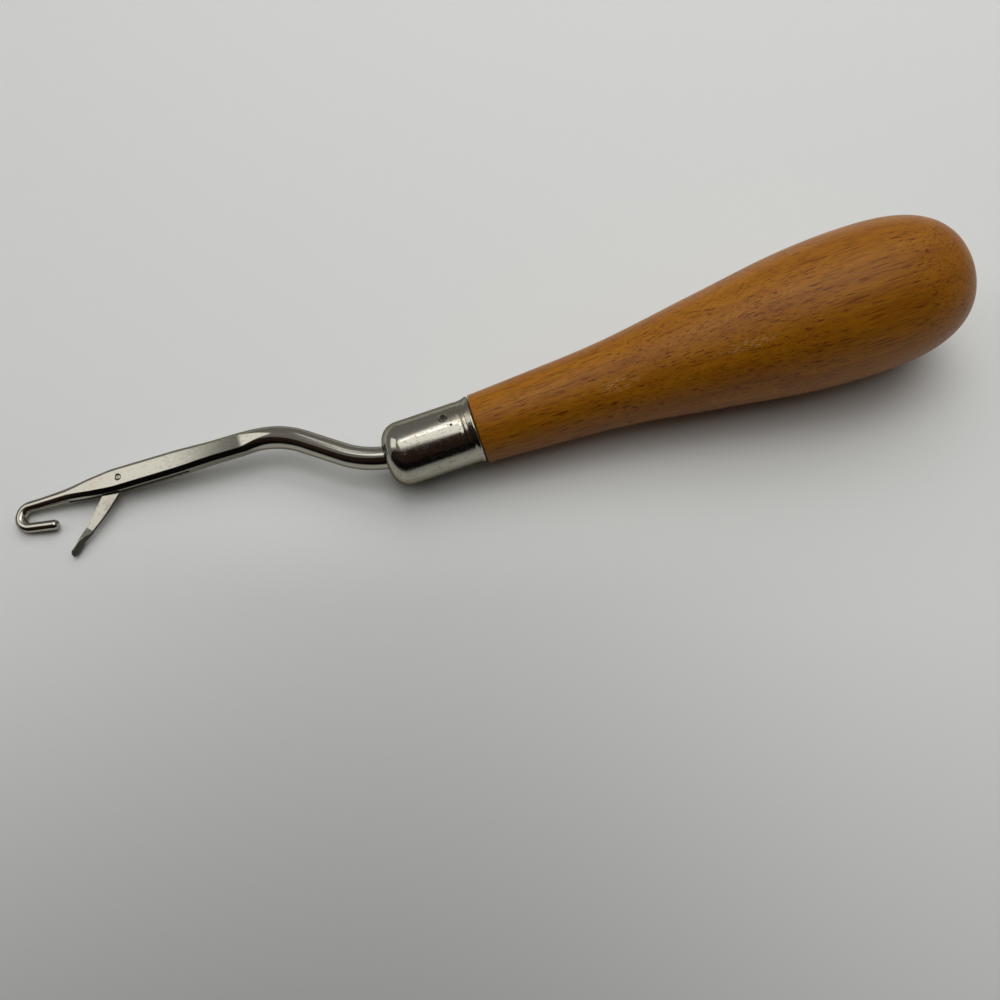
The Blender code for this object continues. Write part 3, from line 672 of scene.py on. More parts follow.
@dataclass
class Needle:
    """The steel needle: tang, shank, crank, slotted blade, nose and hook.

    Attributes:
        wire: The diameter of the round wire.
        tang_length: How far the tang reaches into the handle.
        tang_chamfer: The chamfer at its end.
        shank_length: From the ferrule's rear end to the crank's first bend.
        first_radius: The first bend's radius.
        crank_angle: Its angle.
        rise_length: The straight between the crank's bends.
        second_radius: The second bend's radius.
        blade_slope: How far the blade still slopes to the handle's axis.
        pivot_from_crank: From the crank's end to the latch's pivot.
        hook_from_pivot: From there to the hook's bend.
        hook_radius: The hook's bend radius.
        hook_angle: Its angle.
        hook_return: The straight that the hook ends in.
        hook_wire: The wire's diameter at the hook's bend.
        hook_tip: The wire's diameter at the tip.
        flat_blend: How long the wire takes to turn into the flat blade.
        flat_past_crank: How far past the crank the blade is flat.
        blade_width: The blade's width.
        blade_thickness: Its thickness.
        blade_edge: The radius of its edges.
        cheek_width: Its width beside the slot.
        cheek_edge: The radius of its edges there.
        cheek_start: From the pivot back to where it starts to widen.
        cheek_full: From the pivot back to where it is full.
        nose_start: From the pivot to where the nose starts to taper.
        nose_length: How long the taper is.
        nose_shares: Way along it and how far width, thickness and edge are then the hook's.
        section_softening: How far the section's changes are softened.
        bevel: How much flatter than a quarter circle a worn edge is.
        slot_half: Half the slot's width.
        slot_depth: How far past the middle of the blade it is sawn.
        slot_lip: The round of its lips.
        slot_runout: The depth at which it is a slot over its whole width.
        slot_shade_depth: How far below the lip the slot is painted fully dark, as painted shade.
        saw_radius: The saw's radius.
        slot_front: How far in front of the pivot the saw's centre comes.
        slot_back: How far behind the pivot it comes.
        hole_radius: The radius of the rivet's hole.
        hole_depth: How deep the hole is drawn.
        crater_radius: The radius of the crater round it.
        crater_depth: The crater's depth.
        face_reach: How far below the flat a point still counts as on it.
        wall_shares: How far up the slot's wall its points are.
        floor_shares: How far out from its middle they are.
        section_points: Steps round half a section, beside the slot's.
        ring_gaps: How far apart the rings stand on each run.
        crater_rings: How many rings stand round the rivet.
        crater_span: How many of the crater's radii they reach.
        tip_rings: How many rings close the tip.
        tip_gap: The gap before them.
        least_gap: The least gap between two rings.
    """

    wire: float = 4.1 * MM
    tang_length: float = 38.0 * MM
    tang_chamfer: float = 0.6 * MM
    shank_length: float = 13.0 * MM
    first_radius: float = 18.3 * MM
    crank_angle: float = math.radians(37.8)
    rise_length: float = 7.4 * MM
    second_radius: float = 16.2 * MM
    blade_slope: float = math.radians(2.3)
    pivot_from_crank: float = 24.6 * MM
    hook_from_pivot: float = 17.5 * MM
    hook_radius: float = 2.04 * MM
    hook_angle: float = math.radians(170.5)
    hook_return: float = 5.3 * MM
    hook_wire: float = 2.08 * MM
    hook_tip: float = 1.9 * MM
    flat_blend: float = 5.5 * MM
    flat_past_crank: float = 1.4 * MM
    blade_width: float = 3.94 * MM
    blade_thickness: float = 3.3 * MM
    blade_edge: float = 0.8 * MM
    cheek_width: float = 4.4 * MM
    cheek_edge: float = 0.74 * MM
    cheek_start: float = 17.0 * MM
    cheek_full: float = 11.0 * MM
    nose_start: float = 1.4 * MM
    nose_length: float = 13.4 * MM
    nose_shares: tuple[tuple[float, float, float, float], ...] = (
        (0.0, 0.0, 0.0, 0.0),
        (0.35, 0.35, 0.2, 0.2),
        (0.7, 0.82, 0.68, 1.0),
        (1.0, 1.0, 1.0, 1.0),
    )
    section_softening: float = 0.5 * MM
    bevel: float = 1.7
    slot_half: float = 0.35 * MM
    slot_depth: float = 1.5 * MM
    slot_lip: float = 0.03 * MM
    slot_runout: float = 0.15 * MM
    slot_shade_depth: float = 0.12 * MM
    saw_radius: float = 10.0 * MM
    slot_front: float = 3.5 * MM
    slot_back: float = 4.7 * MM
    hole_radius: float = 0.49 * MM
    hole_depth: float = 0.4 * MM
    crater_radius: float = 0.64 * MM
    crater_depth: float = 0.1 * MM
    face_reach: float = 0.02 * MM
    wall_shares: tuple[float, ...] = (0.0, 0.0, 0.0, 0.33, 0.66, 0.985, 1.0)
    floor_shares: tuple[float, ...] = (0.0, 0.6, 1.0, 1.0, 1.0, 1.0, 1.0)
    section_points: int = 74
    ring_gaps: tuple[float, ...] = (1.0 * MM, 0.28 * MM, 0.5 * MM, 0.28 * MM, 0.2 * MM, 0.1 * MM, 0.25 * MM)
    crater_rings: int = 41
    crater_span: float = 1.2
    tip_rings: int = 13
    tip_gap: float = 0.1 * MM
    least_gap: float = 0.01 * MM

    def runs(self) -> np.ndarray:
        """The centre line as rows of length and turn. A straight turns by nothing."""
        back = self.crank_angle - self.blade_slope
        return np.array([
            (self.tang_length + self.shank_length, 0.0),
            (self.first_radius * self.crank_angle, -self.crank_angle),
            (self.rise_length, 0.0),
            (self.second_radius * back, back),
            (self.pivot_from_crank + self.hook_from_pivot, 0.0),
            (self.hook_radius * self.hook_angle, self.hook_angle),
            (self.hook_return, 0.0),
        ])

    def crank_end(self) -> float:
        """Distance along the needle at which the crank ends."""
        return float(self.runs()[:4, 0].sum())

    def pivot(self) -> float:
        """Distance along the needle of the latch's pivot."""
        return self.crank_end() + self.pivot_from_crank

    def length(self) -> float:
        """Distance along the needle of the tip of the hook."""
        return float(self.runs()[:, 0].sum())

    def along(self, distance: np.ndarray) -> tuple[np.ndarray, np.ndarray, np.ndarray]:
        """The centre line: on each run the chord of an arc is twice its radius times the sine
        of half the turn so far, laid off at half that turn, and the runs' chords add up.

        Args:
            distance: Distances from the end of the tang.

        Returns:
            X, Y and the heading there, in the tool's own frame.
        """
        x = np.full_like(distance, self.tang_length)
        y = np.zeros_like(distance)
        heading = np.full_like(distance, math.pi)
        left = distance.copy()
        for length, turn in self.runs():
            step = np.clip(left, 0.0, length)
            turned = turn * step / length
            chord = step * np.sinc(turned / math.tau)
            x += chord * np.cos(heading + turned / 2)
            y += chord * np.sin(heading + turned / 2)
            heading += turned
            left -= step
        return x, y, heading

    def pivot_place(self) -> np.ndarray:
        """The latch's pivot in the tool's own frame."""
        x, y, _ = self.along(np.array([self.pivot()]))
        return np.array([x[0], y[0], 0.0])

    def stations(self) -> np.ndarray:
        """Rows of distance, width, thickness and edge radius of the section along the needle."""
        wire = (self.wire, self.wire, self.wire / 2)
        blade = (self.blade_width, self.blade_thickness, self.blade_edge)
        cheek = (self.cheek_width, self.blade_thickness, self.cheek_edge)
        blade_start = self.crank_end() + self.flat_past_crank
        chamfered = self.wire - 2 * self.tang_chamfer
        pivot = self.pivot()
        rows = [
            (0.0, chamfered, chamfered, chamfered / 2),
            (self.tang_chamfer, *wire),
            (blade_start - self.flat_blend, *wire),
            (blade_start, *blade),
            (pivot - self.cheek_start, *blade),
            (pivot - self.cheek_full, *cheek),
        ]
        for way, narrower, thinner, rounder in self.nose_shares:
            width = self.cheek_width + narrower * (self.hook_wire - self.cheek_width)
            thickness = self.blade_thickness + thinner * (self.hook_wire - self.blade_thickness)
            edge = self.cheek_edge + rounder * (min(width, thickness) / 2 - self.cheek_edge)
            rows.append((pivot + self.nose_start + way * self.nose_length, width, thickness, edge))
        tip = (self.hook_tip, self.hook_tip, self.hook_tip / 2)
        rows.append((self.length() - self.hook_return, *tip))
        rows.append((self.length(), *tip))
        return np.array(rows)

    def section(self, distance: np.ndarray) -> tuple[np.ndarray, np.ndarray, np.ndarray]:
        """Width, thickness and edge radius: the mean of the stations' lines at three places.

        Args:
            distance: Distances along the needle.

        Returns:
            The three sizes there.
        """
        rows = self.stations()
        near = np.where(distance > 2 * self.tang_chamfer, self.section_softening, 0.0)
        places = [distance - near, distance, distance + near]
        width, thickness, edge = (
            sum(np.interp(place, rows[:, 0], rows[:, column]) for place in places) / 3 for column in (1, 2, 3)
        )
        return width, thickness, np.minimum(edge, np.minimum(width, thickness) / 2)

    def outline(
        self, run: np.ndarray, half_width: np.ndarray, half_thickness: np.ndarray, edge: np.ndarray
    ) -> tuple[np.ndarray, np.ndarray]:
        """Half of a rounded rectangle read by its arc length from the middle of one side:
        a straight, a quarter turn, a straight, a quarter turn and a straight, each clipped.

        A quarter turn is the edge radius times cosine and sine to a power. The power is one
        on round wire, and grows to a worn bevel's as the edge gets small against the section.

        Args:
            run: Arc lengths, as rings by points.
            half_width: Half the width of each ring.
            half_thickness: Half its thickness.
            edge: Its edge radius.

        Returns:
            Arrays of the places across and through, as rings by points.
        """
        side = half_thickness - edge
        quarter = edge * RIGHT_ANGLE
        face = 2 * (half_width - edge)
        first = np.clip(run - side, 0.0, quarter) / edge
        over = np.clip(run - side - quarter, 0.0, face)
        second = np.clip(run - side - quarter - face, 0.0, quarter) / edge
        last = np.clip(run - side - 2 * quarter - face, 0.0, side)
        power = 1.0 + self.bevel * (1.0 - edge / np.minimum(half_width, half_thickness))
        cos_first, sin_first = np.clip(np.cos(first), 0.0, 1.0) ** power, np.sin(first) ** power
        cos_second, sin_second = np.clip(np.cos(second), 0.0, 1.0) ** power, np.sin(second) ** power
        across = half_width - edge + edge * cos_first - over - edge * sin_second
        through = np.clip(run, 0.0, side) + edge * sin_first - edge * (1 - cos_second) - last
        return across, through

    def slot_floor(self, distance: np.ndarray) -> np.ndarray:
        """How far across the slot's floor lies: the saw's circle at each end of its travel,
        and its lowest line between them.

        Args:
            distance: Distances along the needle.

        Returns:
            The floor's place across, measured towards the side of the hook's mouth.
        """
        behind = self.pivot() - distance
        past_end = np.maximum(behind - self.slot_back, 0.0) + np.minimum(behind + self.slot_front, 0.0)
        inside = np.clip(1.0 - (past_end / self.saw_radius) ** 2, 0.0, 1.0)
        return self.saw_radius * (1.0 - np.sqrt(inside)) - self.slot_depth

    def places(self) -> np.ndarray:
        """Where the rings stand: close on bends and along the blade, round the rivet and over the tip."""
        runs = self.runs()
        joints = np.concatenate([[0.0], np.cumsum(runs[:, 0])])
        pieces = [
            np.linspace(start, end, max(int((end - start) / gap), 2), endpoint=False)
            for start, end, gap in zip(joints, joints[1:], self.ring_gaps)
        ]
        span = np.linspace(-self.crater_span, self.crater_span, self.crater_rings)
        rivet = self.pivot() + span * self.crater_radius
        tip_radius = self.hook_tip / 2
        closing = np.linspace(0.0, RIGHT_ANGLE, self.tip_rings + 1)[:-1]
        tip = joints[-1] - tip_radius * (1.0 - np.sin(closing))
        body = np.concatenate([*pieces, rivet, [self.tang_chamfer]])
        body = np.concatenate([body[body < joints[-1] - tip_radius - self.tip_gap], tip])
        body = np.unique(np.round(body, PLACE_DECIMALS))
        return body[np.diff(body, append=math.inf) > self.least_gap]

    def rings(self) -> tuple[np.ndarray, np.ndarray, np.ndarray]:
        """Every ring of the needle, with the slot and the rivet's craters sunk into it.

        Returns:
            The across and through places, the rings' distances, and each point's painted shade.
        """
        distance = self.places()
        width, thickness, edge = self.section(distance)
        tip_radius = self.hook_tip / 2
        past = np.clip((distance - (self.length() - tip_radius)) / tip_radius, 0.0, 1.0)
        shrink = np.sqrt(1.0 - past**2)
        half_width, half_thickness, edge = (
            value[:, None] * shrink[:, None] for value in (width / 2, thickness / 2, edge)
        )
        total = 2 * (half_thickness - edge) + 2 * (half_width - edge) + math.pi * edge
        mouth_run = (self.slot_half + self.slot_lip) * shrink[:, None]
        mouth = mouth_run * np.linspace(0.0, 1.0, len(self.wall_shares))
        rest = mouth_run + (total - mouth_run) * np.linspace(0.0, 1.0, self.section_points + 1)[1:]
        run = np.concatenate([mouth, rest], axis=1)
        across, through = self.outline(run, half_width, half_thickness, edge)
        across, through, painted_shade = self.sink_slot(distance, across, through)
        through = self.sink_craters(distance, across, through, half_thickness)
        across = np.concatenate([across, across[:, -2:0:-1]], axis=1)
        through = np.concatenate([through, -through[:, -2:0:-1]], axis=1)
        painted_shade = np.concatenate([painted_shade, painted_shade[:, -2:0:-1]], axis=1)
        return np.stack([across, through], axis=-1), distance, painted_shade

    def sink_slot(
        self, distance: np.ndarray, across: np.ndarray, through: np.ndarray
    ) -> tuple[np.ndarray, np.ndarray, np.ndarray]:
        """Move the first points of each ring down into the slot: three along its floor and
        the rest up its wall to the lip.

        Args:
            distance: The rings' distances.
            across: The outline's places across.
            through: The outline's places through.

        Returns:
            Both arrays with the slot in them, and each point's painted shade in the slot: one from
            a set depth below the lip downwards, and nothing outside.
        """
        up_wall = np.array(self.wall_shares)
        mouth = slice(0, len(up_wall))
        lip = across[:, mouth][:, -1:]
        depth = np.clip(lip - self.slot_floor(distance)[:, None], 0.0, None)
        share = np.clip(depth / self.slot_runout, 0.0, 1.0)
        sunk_across = lip - depth * (1.0 - up_wall)
        on_lip = np.where(up_wall == 1.0, self.slot_lip, 0.0)
        sunk_through = self.slot_half * np.array(self.floor_shares) + on_lip
        across = across.copy()
        through = through.copy()
        across[:, mouth] += share * (sunk_across - across[:, mouth])
        through[:, mouth] += share * (sunk_through - through[:, mouth])
        # Painted shade: the slot's wall and floor are painted dark from just below the lip.
        painted_shade = np.zeros_like(across)
        painted_shade[:, mouth] = np.clip((lip - across[:, mouth]) / self.slot_shade_depth, 0.0, 1.0) * share
        return across, through, painted_shade

    def sink_craters(
        self, distance: np.ndarray, across: np.ndarray, through: np.ndarray, half: np.ndarray
    ) -> np.ndarray:
        """Sink the rivet's hole and the crater round it: depth falls off with the distance
        from the pivot, first as a cone and then as the hole's wall.

        Args:
            distance: The rings' distances.
            across: Places across.
            through: Places through.
            half: Half the thickness of each ring.

        Returns:
            The places through with the crater in them.
        """
        radius = np.hypot(distance[:, None] - self.pivot(), across)
        cone = np.clip((self.crater_radius - radius) / (self.crater_radius - self.hole_radius), 0.0, 1.0)
        hole = np.where(radius < self.hole_radius, self.hole_depth, 0.0)
        depth = self.crater_depth * eased(cone) + hole
        return np.where(through > half - self.face_reach, through - depth, through)

    def build(self, frame: ToolFrame) -> bpy.types.Object:
        """Carry the rings along the centre line and make the mesh.

        Args:
            frame: Where the tool lies.

        Returns:
            The needle.
        """
        section, distance, painted_shade = self.rings()
        x, y, heading = (value[:, None] for value in self.along(distance))
        points = np.stack([
            x - section[..., 0] * np.sin(heading),
            y + section[..., 0] * np.cos(heading),
            section[..., 1],
        ], axis=-1)
        way = np.broadcast_to(distance[:, None, None], (*section.shape[:2], 1))
        obj = skin("needle", frame.lay(points), np.concatenate([way, section], axis=-1), Ends.CAPPED)
        set_painted_shade(obj, painted_shade, 0.0, 0.0)
        return obj


@dataclass
class Ferrule:
    """The drawn cup with its punched dimple and flared lip.

    Attributes:
        length: Its length.
        radius: Its outer radius.
        wall: Its wall.
        front_round: The radius of its rounded front.
        lip_radius: The flared lip's radius.
        lip_length: How long the flare is.
        lip_round: The round of the lip's edge.
        groove_at: From the rear end to the shallow groove in front of the lip.
        groove_reach: The groove's half width.
        groove_depth: Its depth.
        hole_radius: The radius of the hole for the shank.
        hole_round: The round of its edge.
        hole_offset: How far the hole sits to one side.
        hole_blend: How far round the hole the front follows it.
        dimple_at: From the rear end to the punched dimple.
        dimple_turn: Its angle from the top.
        punch_radius: Its radius.
        punch_depth: Its depth.
        dent_wall_share: How much of a dent's radius its wall takes.
        dent_bowl_share: How much of its depth is a bowl over its whole width.
        dimple_shade_turn: The angle from the top at which the painted shade in the dimple lies.
        dimple_shade_radius: The radius of that painted shade.
        dimple_shade_level: How dark it is painted, from 0 to 1.
        pit_at: From the rear end to the small pit in the plating.
        pit_turn: Its angle from the top.
        pit_radius: Its radius.
        pit_depth: Its depth.
        outside_reach: How far below the outside a point still counts as on it.
        turned_points: Steps round the axis.
        turned_reach: The angle round the dimple within which they crowd.
        turned_crowding: How many times denser they are there.
        body_rings: Rings along the straight outside.
        body_reach: The length round the dimple within which they crowd.
        body_crowding: How many times denser they are there.
        flare_rings: Rings along the flare.
    """

    length: float = 16.7 * MM
    radius: float = 5.8 * MM
    wall: float = 0.5 * MM
    front_round: float = 3.4 * MM
    lip_radius: float = 6.1 * MM
    lip_length: float = 1.1 * MM
    lip_round: float = 0.3 * MM
    groove_at: float = 2.15 * MM
    groove_reach: float = 0.22 * MM
    groove_depth: float = 0.06 * MM
    hole_radius: float = 2.2 * MM
    hole_round: float = 0.1 * MM
    hole_offset: float = 0.37 * MM
    hole_blend: float = 1.2 * MM
    dimple_at: float = 4.95 * MM
    dimple_turn: float = math.radians(17.0)
    punch_radius: float = 0.88 * MM
    punch_depth: float = 0.47 * MM
    dent_wall_share: float = 0.45
    dent_bowl_share: float = 0.35
    # Painted shade in the dimple, set a little off its middle.
    dimple_shade_turn: float = math.radians(20.3)
    dimple_shade_radius: float = 0.74 * MM
    dimple_shade_level: float = 0.97
    pit_at: float = 3.9 * MM
    pit_turn: float = math.radians(-1.0)
    pit_radius: float = 0.22 * MM
    pit_depth: float = 0.16 * MM
    outside_reach: float = 0.05 * MM
    turned_points: int = 288
    turned_reach: float = 0.25
    turned_crowding: float = 4.0
    body_rings: int = 140
    body_reach: float = 1.0 * MM
    body_crowding: float = 5.0
    flare_rings: int = 18

    def profile(self) -> np.ndarray:
        """The wall's profile, from the hole over the outside to the lip and back inside.

        Returns:
            Rows of radius and X, closed by the step from the last to the first.
        """
        front = -self.length
        shoulder = front + self.front_round
        inside = self.radius - self.wall
        inner_round = self.front_round - self.wall
        lip = self.lip_radius - self.lip_round
        hole_edge = front + self.hole_round
        hole_middle = (self.hole_radius + self.hole_round, hole_edge)
        middle = (self.radius - self.front_round, shoulder)
        share = np.linspace(0.0, 1.0, self.flare_rings + 1)[1:]
        flare = self.radius + (self.lip_radius - self.radius) * (1.0 - np.cos(math.pi * share)) / 2
        end = -self.lip_round - self.lip_length
        body = crowded(shoulder, end, self.body_rings, -self.dimple_at, self.body_reach, self.body_crowding)
        groove = self.groove_depth * np.exp(-(((body + self.groove_at) / self.groove_reach) ** 2))
        return np.concatenate([
            line_points((self.hole_radius, front + self.wall), (self.hole_radius, hole_edge), steps=4),
            arc_points(hole_middle, self.hole_round, math.pi, 1.5 * math.pi, steps=5)[1:],
            arc_points(middle, self.front_round, -RIGHT_ANGLE, 0.0, steps=48)[1:],
            np.stack([self.radius - groove, body], axis=1)[1:],
            np.stack([flare, -self.lip_round - self.lip_length * (1.0 - share)], axis=1),
            arc_points((lip, -self.lip_round), self.lip_round, 0.0, RIGHT_ANGLE, steps=8)[1:],
            line_points((lip, 0.0), (inside, 0.0), steps=2),
            line_points((inside, 0.0), (inside, shoulder), steps=24),
            arc_points((inside - inner_round, shoulder), inner_round, 0.0, -RIGHT_ANGLE, steps=12)[1:],
        ])

    def build(self, frame: ToolFrame) -> bpy.types.Object:
        """Turn the profile about X, move the hole to the shank, and press the dimple in.

        The rings near the hole are shifted sideways by an amount that fades with the radius.
        The dimple and the pit are sunk by smooth steps round their middles. Both are also painted dark, as
        painted shade.

        Args:
            frame: Where the tool lies.

        Returns:
            The ferrule.
        """
        profile = self.profile()
        angle = crowded(-math.pi, math.pi, self.turned_points, 0.0, self.turned_reach, self.turned_crowding)
        angle = angle[:-1] + RIGHT_ANGLE - self.dimple_turn
        radius, x = profile[:, 0:1], profile[:, 1:2]
        y = radius * np.cos(angle)
        z = radius * np.sin(angle)
        fade = np.clip(1.0 - (radius - self.hole_radius) / self.hole_blend, 0.0, 1.0)
        y = y + self.hole_offset * fade * (x < -self.length + 2 * self.wall)
        x = np.broadcast_to(x, y.shape)
        outside = radius > self.radius - self.outside_reach
        dimple = self.dent(x, angle, self.dimple_at, self.dimple_turn, self.punch_radius, self.punch_depth)
        pit = self.dent(x, angle, self.pit_at, self.pit_turn, self.pit_radius, self.pit_depth)
        sunk = np.where(outside, dimple + pit, 0.0)
        # Painted shade: the dimple is painted dark a little off its middle, and the pit as dark as it is
        # deep.
        dimple_shade = self.dent(x, angle, self.dimple_at, self.dimple_shade_turn, self.dimple_shade_radius, self.dimple_shade_level)
        painted_shade = np.where(outside, dimple_shade + pit / self.pit_depth, 0.0)
        points = np.stack([x, y - sunk * np.cos(angle), z - sunk * np.sin(angle)], axis=-1)
        obj = skin("ferrule_cup", frame.lay(points), points, Ends.JOINED)
        set_painted_shade(obj, painted_shade)
        return obj

    def dent(
        self, x: np.ndarray, angle: np.ndarray, at: float, turn: float, radius: float, depth: float
    ) -> np.ndarray:
        """How deep a punch sinks the outside at each point: a smooth step over its wall and a
        shallow parabola over its whole width.

        Args:
            x: The points' X.
            angle: Their angles about the axis.
            at: The dent's distance from the rear end.
            turn: Its angle from the top.
            radius: The dent's radius.
            depth: The dent's depth in its middle.

        Returns:
            The depths.
        """
        way = np.hypot(x + at, self.radius * (angle - (RIGHT_ANGLE - turn)))
        inside = np.clip((radius - way) / (self.dent_wall_share * radius), 0.0, 1.0)
        bowl = self.dent_bowl_share * np.clip(1.0 - (way / radius) ** 2, 0.0, 1.0)
        return depth * ((1.0 - self.dent_bowl_share) * eased(inside) + bowl)


@dataclass
class Handle:
    """The turned handle with the spigot under the ferrule and the bore for the tang.

    Attributes:
        length: From the ferrule's rear end to the butt.
        neck_radius: The radius behind the ferrule.
        belly_radius: The largest radius.
        belly_at: From the ferrule's rear end to that place.
        neck_round: The round of the neck's edge.
        swell_shares: Share of the way to the belly, and of the growth to its radius.
        butt_fullness: The power of the butt's curve. Two would be an ellipse.
        seam: The gap behind the ferrule.
        spigot_radius: The radius inside the ferrule.
        spigot_round: The round of its front.
        spigot_length: Its length.
        bore_radius: The radius of the tang's bore.
        bore_length: From the ferrule's rear end to the bore's end.
        turned_points: Steps round the axis.
        butt_rings: Rings round the butt.
        swell_rings: Rings from the belly to the neck.
    """

    length: float = 88.9 * MM
    neck_radius: float = 6.15 * MM
    belly_radius: float = 13.0 * MM
    belly_at: float = 68.5 * MM
    neck_round: float = 0.3 * MM
    swell_shares: tuple[Pair, ...] = (
        (0.0, 0.0),
        (0.12, 0.065),
        (0.36, 0.225),
        (0.62, 0.595),
        (0.88, 0.945),
        (1.0, 1.0),
    )
    butt_fullness: float = 2.75
    seam: float = 0.1 * MM
    spigot_radius: float = 5.15 * MM
    spigot_round: float = 2.9 * MM
    spigot_length: float = 16.05 * MM
    bore_radius: float = 2.2 * MM
    bore_length: float = 38.6 * MM
    turned_points: int = 224
    butt_rings: int = 60
    swell_rings: int = 140

    def profile(self) -> np.ndarray:
        """The handle from the butt down its outside, over the spigot and into its bore.

        Returns:
            Rows of radius and X.
        """
        angle = np.linspace(0.0, RIGHT_ANGLE, self.butt_rings + 1)[1:]
        power = 2 / self.butt_fullness
        butt = np.stack([
            self.belly_radius * np.sin(angle) ** power,
            self.belly_at + (self.length - self.belly_at) * np.clip(np.cos(angle), 0.0, 1.0) ** power,
        ], axis=1)
        share = np.linspace(1.0, 0.0, self.swell_rings + 1)[1:-1]
        growth = smooth_through(self.swell_shares, share)
        swell = np.stack([
            self.neck_radius + (self.belly_radius - self.neck_radius) * growth,
            self.belly_at * share,
        ], axis=1)
        swell = swell[swell[:, 1] > self.seam + self.neck_round]
        neck = self.neck_radius - self.neck_round
        end = -self.spigot_length
        corner = (self.spigot_radius - self.spigot_round, self.spigot_round - self.spigot_length)
        return np.concatenate([
            butt,
            swell,
            arc_points((neck, self.seam + self.neck_round), self.neck_round, 0.0, -RIGHT_ANGLE, steps=6),
            line_points((neck, self.seam), (self.spigot_radius, self.seam), steps=3),
            line_points((self.spigot_radius, self.seam), (self.spigot_radius, corner[1]), steps=12),
            arc_points(corner, self.spigot_round, 0.0, -RIGHT_ANGLE, steps=10)[1:],
            line_points((corner[0], end), (self.bore_radius, end), steps=1),
            line_points((self.bore_radius, end), (self.bore_radius, self.bore_length), steps=24),
        ])

    def build(self, frame: ToolFrame) -> bpy.types.Object:
        """Turn the profile about X.

        Args:
            frame: Where the tool lies.

        Returns:
            The handle.
        """
        profile = self.profile()
        angle = np.linspace(0.0, math.tau, self.turned_points, endpoint=False)
        radius = profile[:, 0:1]
        x = np.broadcast_to(profile[:, 1:2], (len(profile), len(angle)))
        points = np.stack([x, radius * np.cos(angle), radius * np.sin(angle)], axis=-1)
        return skin("turned_handle", frame.lay(points), points, Ends.CAPPED)


@dataclass
class Rivet:
    """The pin that the latch turns on, with low domed ends.

    Attributes:
        radius: Its radius.
        end: From its middle to the top of a dome.
        dome: How high a dome is.
        peen_radius: The radius of the small dip in a dome.
        peen_depth: The dip's depth.
        dome_rings: Rings on a dome.
        turned_points: Steps round the axis.
    """

    radius: float = 0.45 * MM
    end: float = 1.6 * MM
    dome: float = 0.08 * MM
    peen_radius: float = 0.16 * MM
    peen_depth: float = 0.04 * MM
    dome_rings: int = 14
    turned_points: int = 48

    def build(self, frame: ToolFrame, needle: Needle) -> bpy.types.Object:
        """Turn the pin about the pivot: an ellipse at each end with a small dip in its middle.

        Args:
            frame: Where the tool lies.
            needle: The needle that holds it.

        Returns:
            The rivet.
        """
        turn = np.linspace(0.0, RIGHT_ANGLE, self.dome_rings + 1)[1:]
        radius = self.radius * np.sin(turn)
        height = self.end - self.dome + self.dome * np.cos(turn)
        height = height - self.peen_depth * np.exp(-((radius / self.peen_radius) ** 2))
        radius = np.concatenate([radius, radius[::-1]])[:, None]
        height = np.concatenate([height, -height[::-1]])[:, None]
        angle = np.linspace(0.0, math.tau, self.turned_points, endpoint=False)
        height = np.broadcast_to(height, (len(height), len(angle)))
        local = np.stack([radius * np.cos(angle), radius * np.sin(angle), height], axis=-1)
        points = frame.lay(local + needle.pivot_place())
        return skin("rivet_pin", points, local, Ends.CAPPED, sharp_from=math.pi)


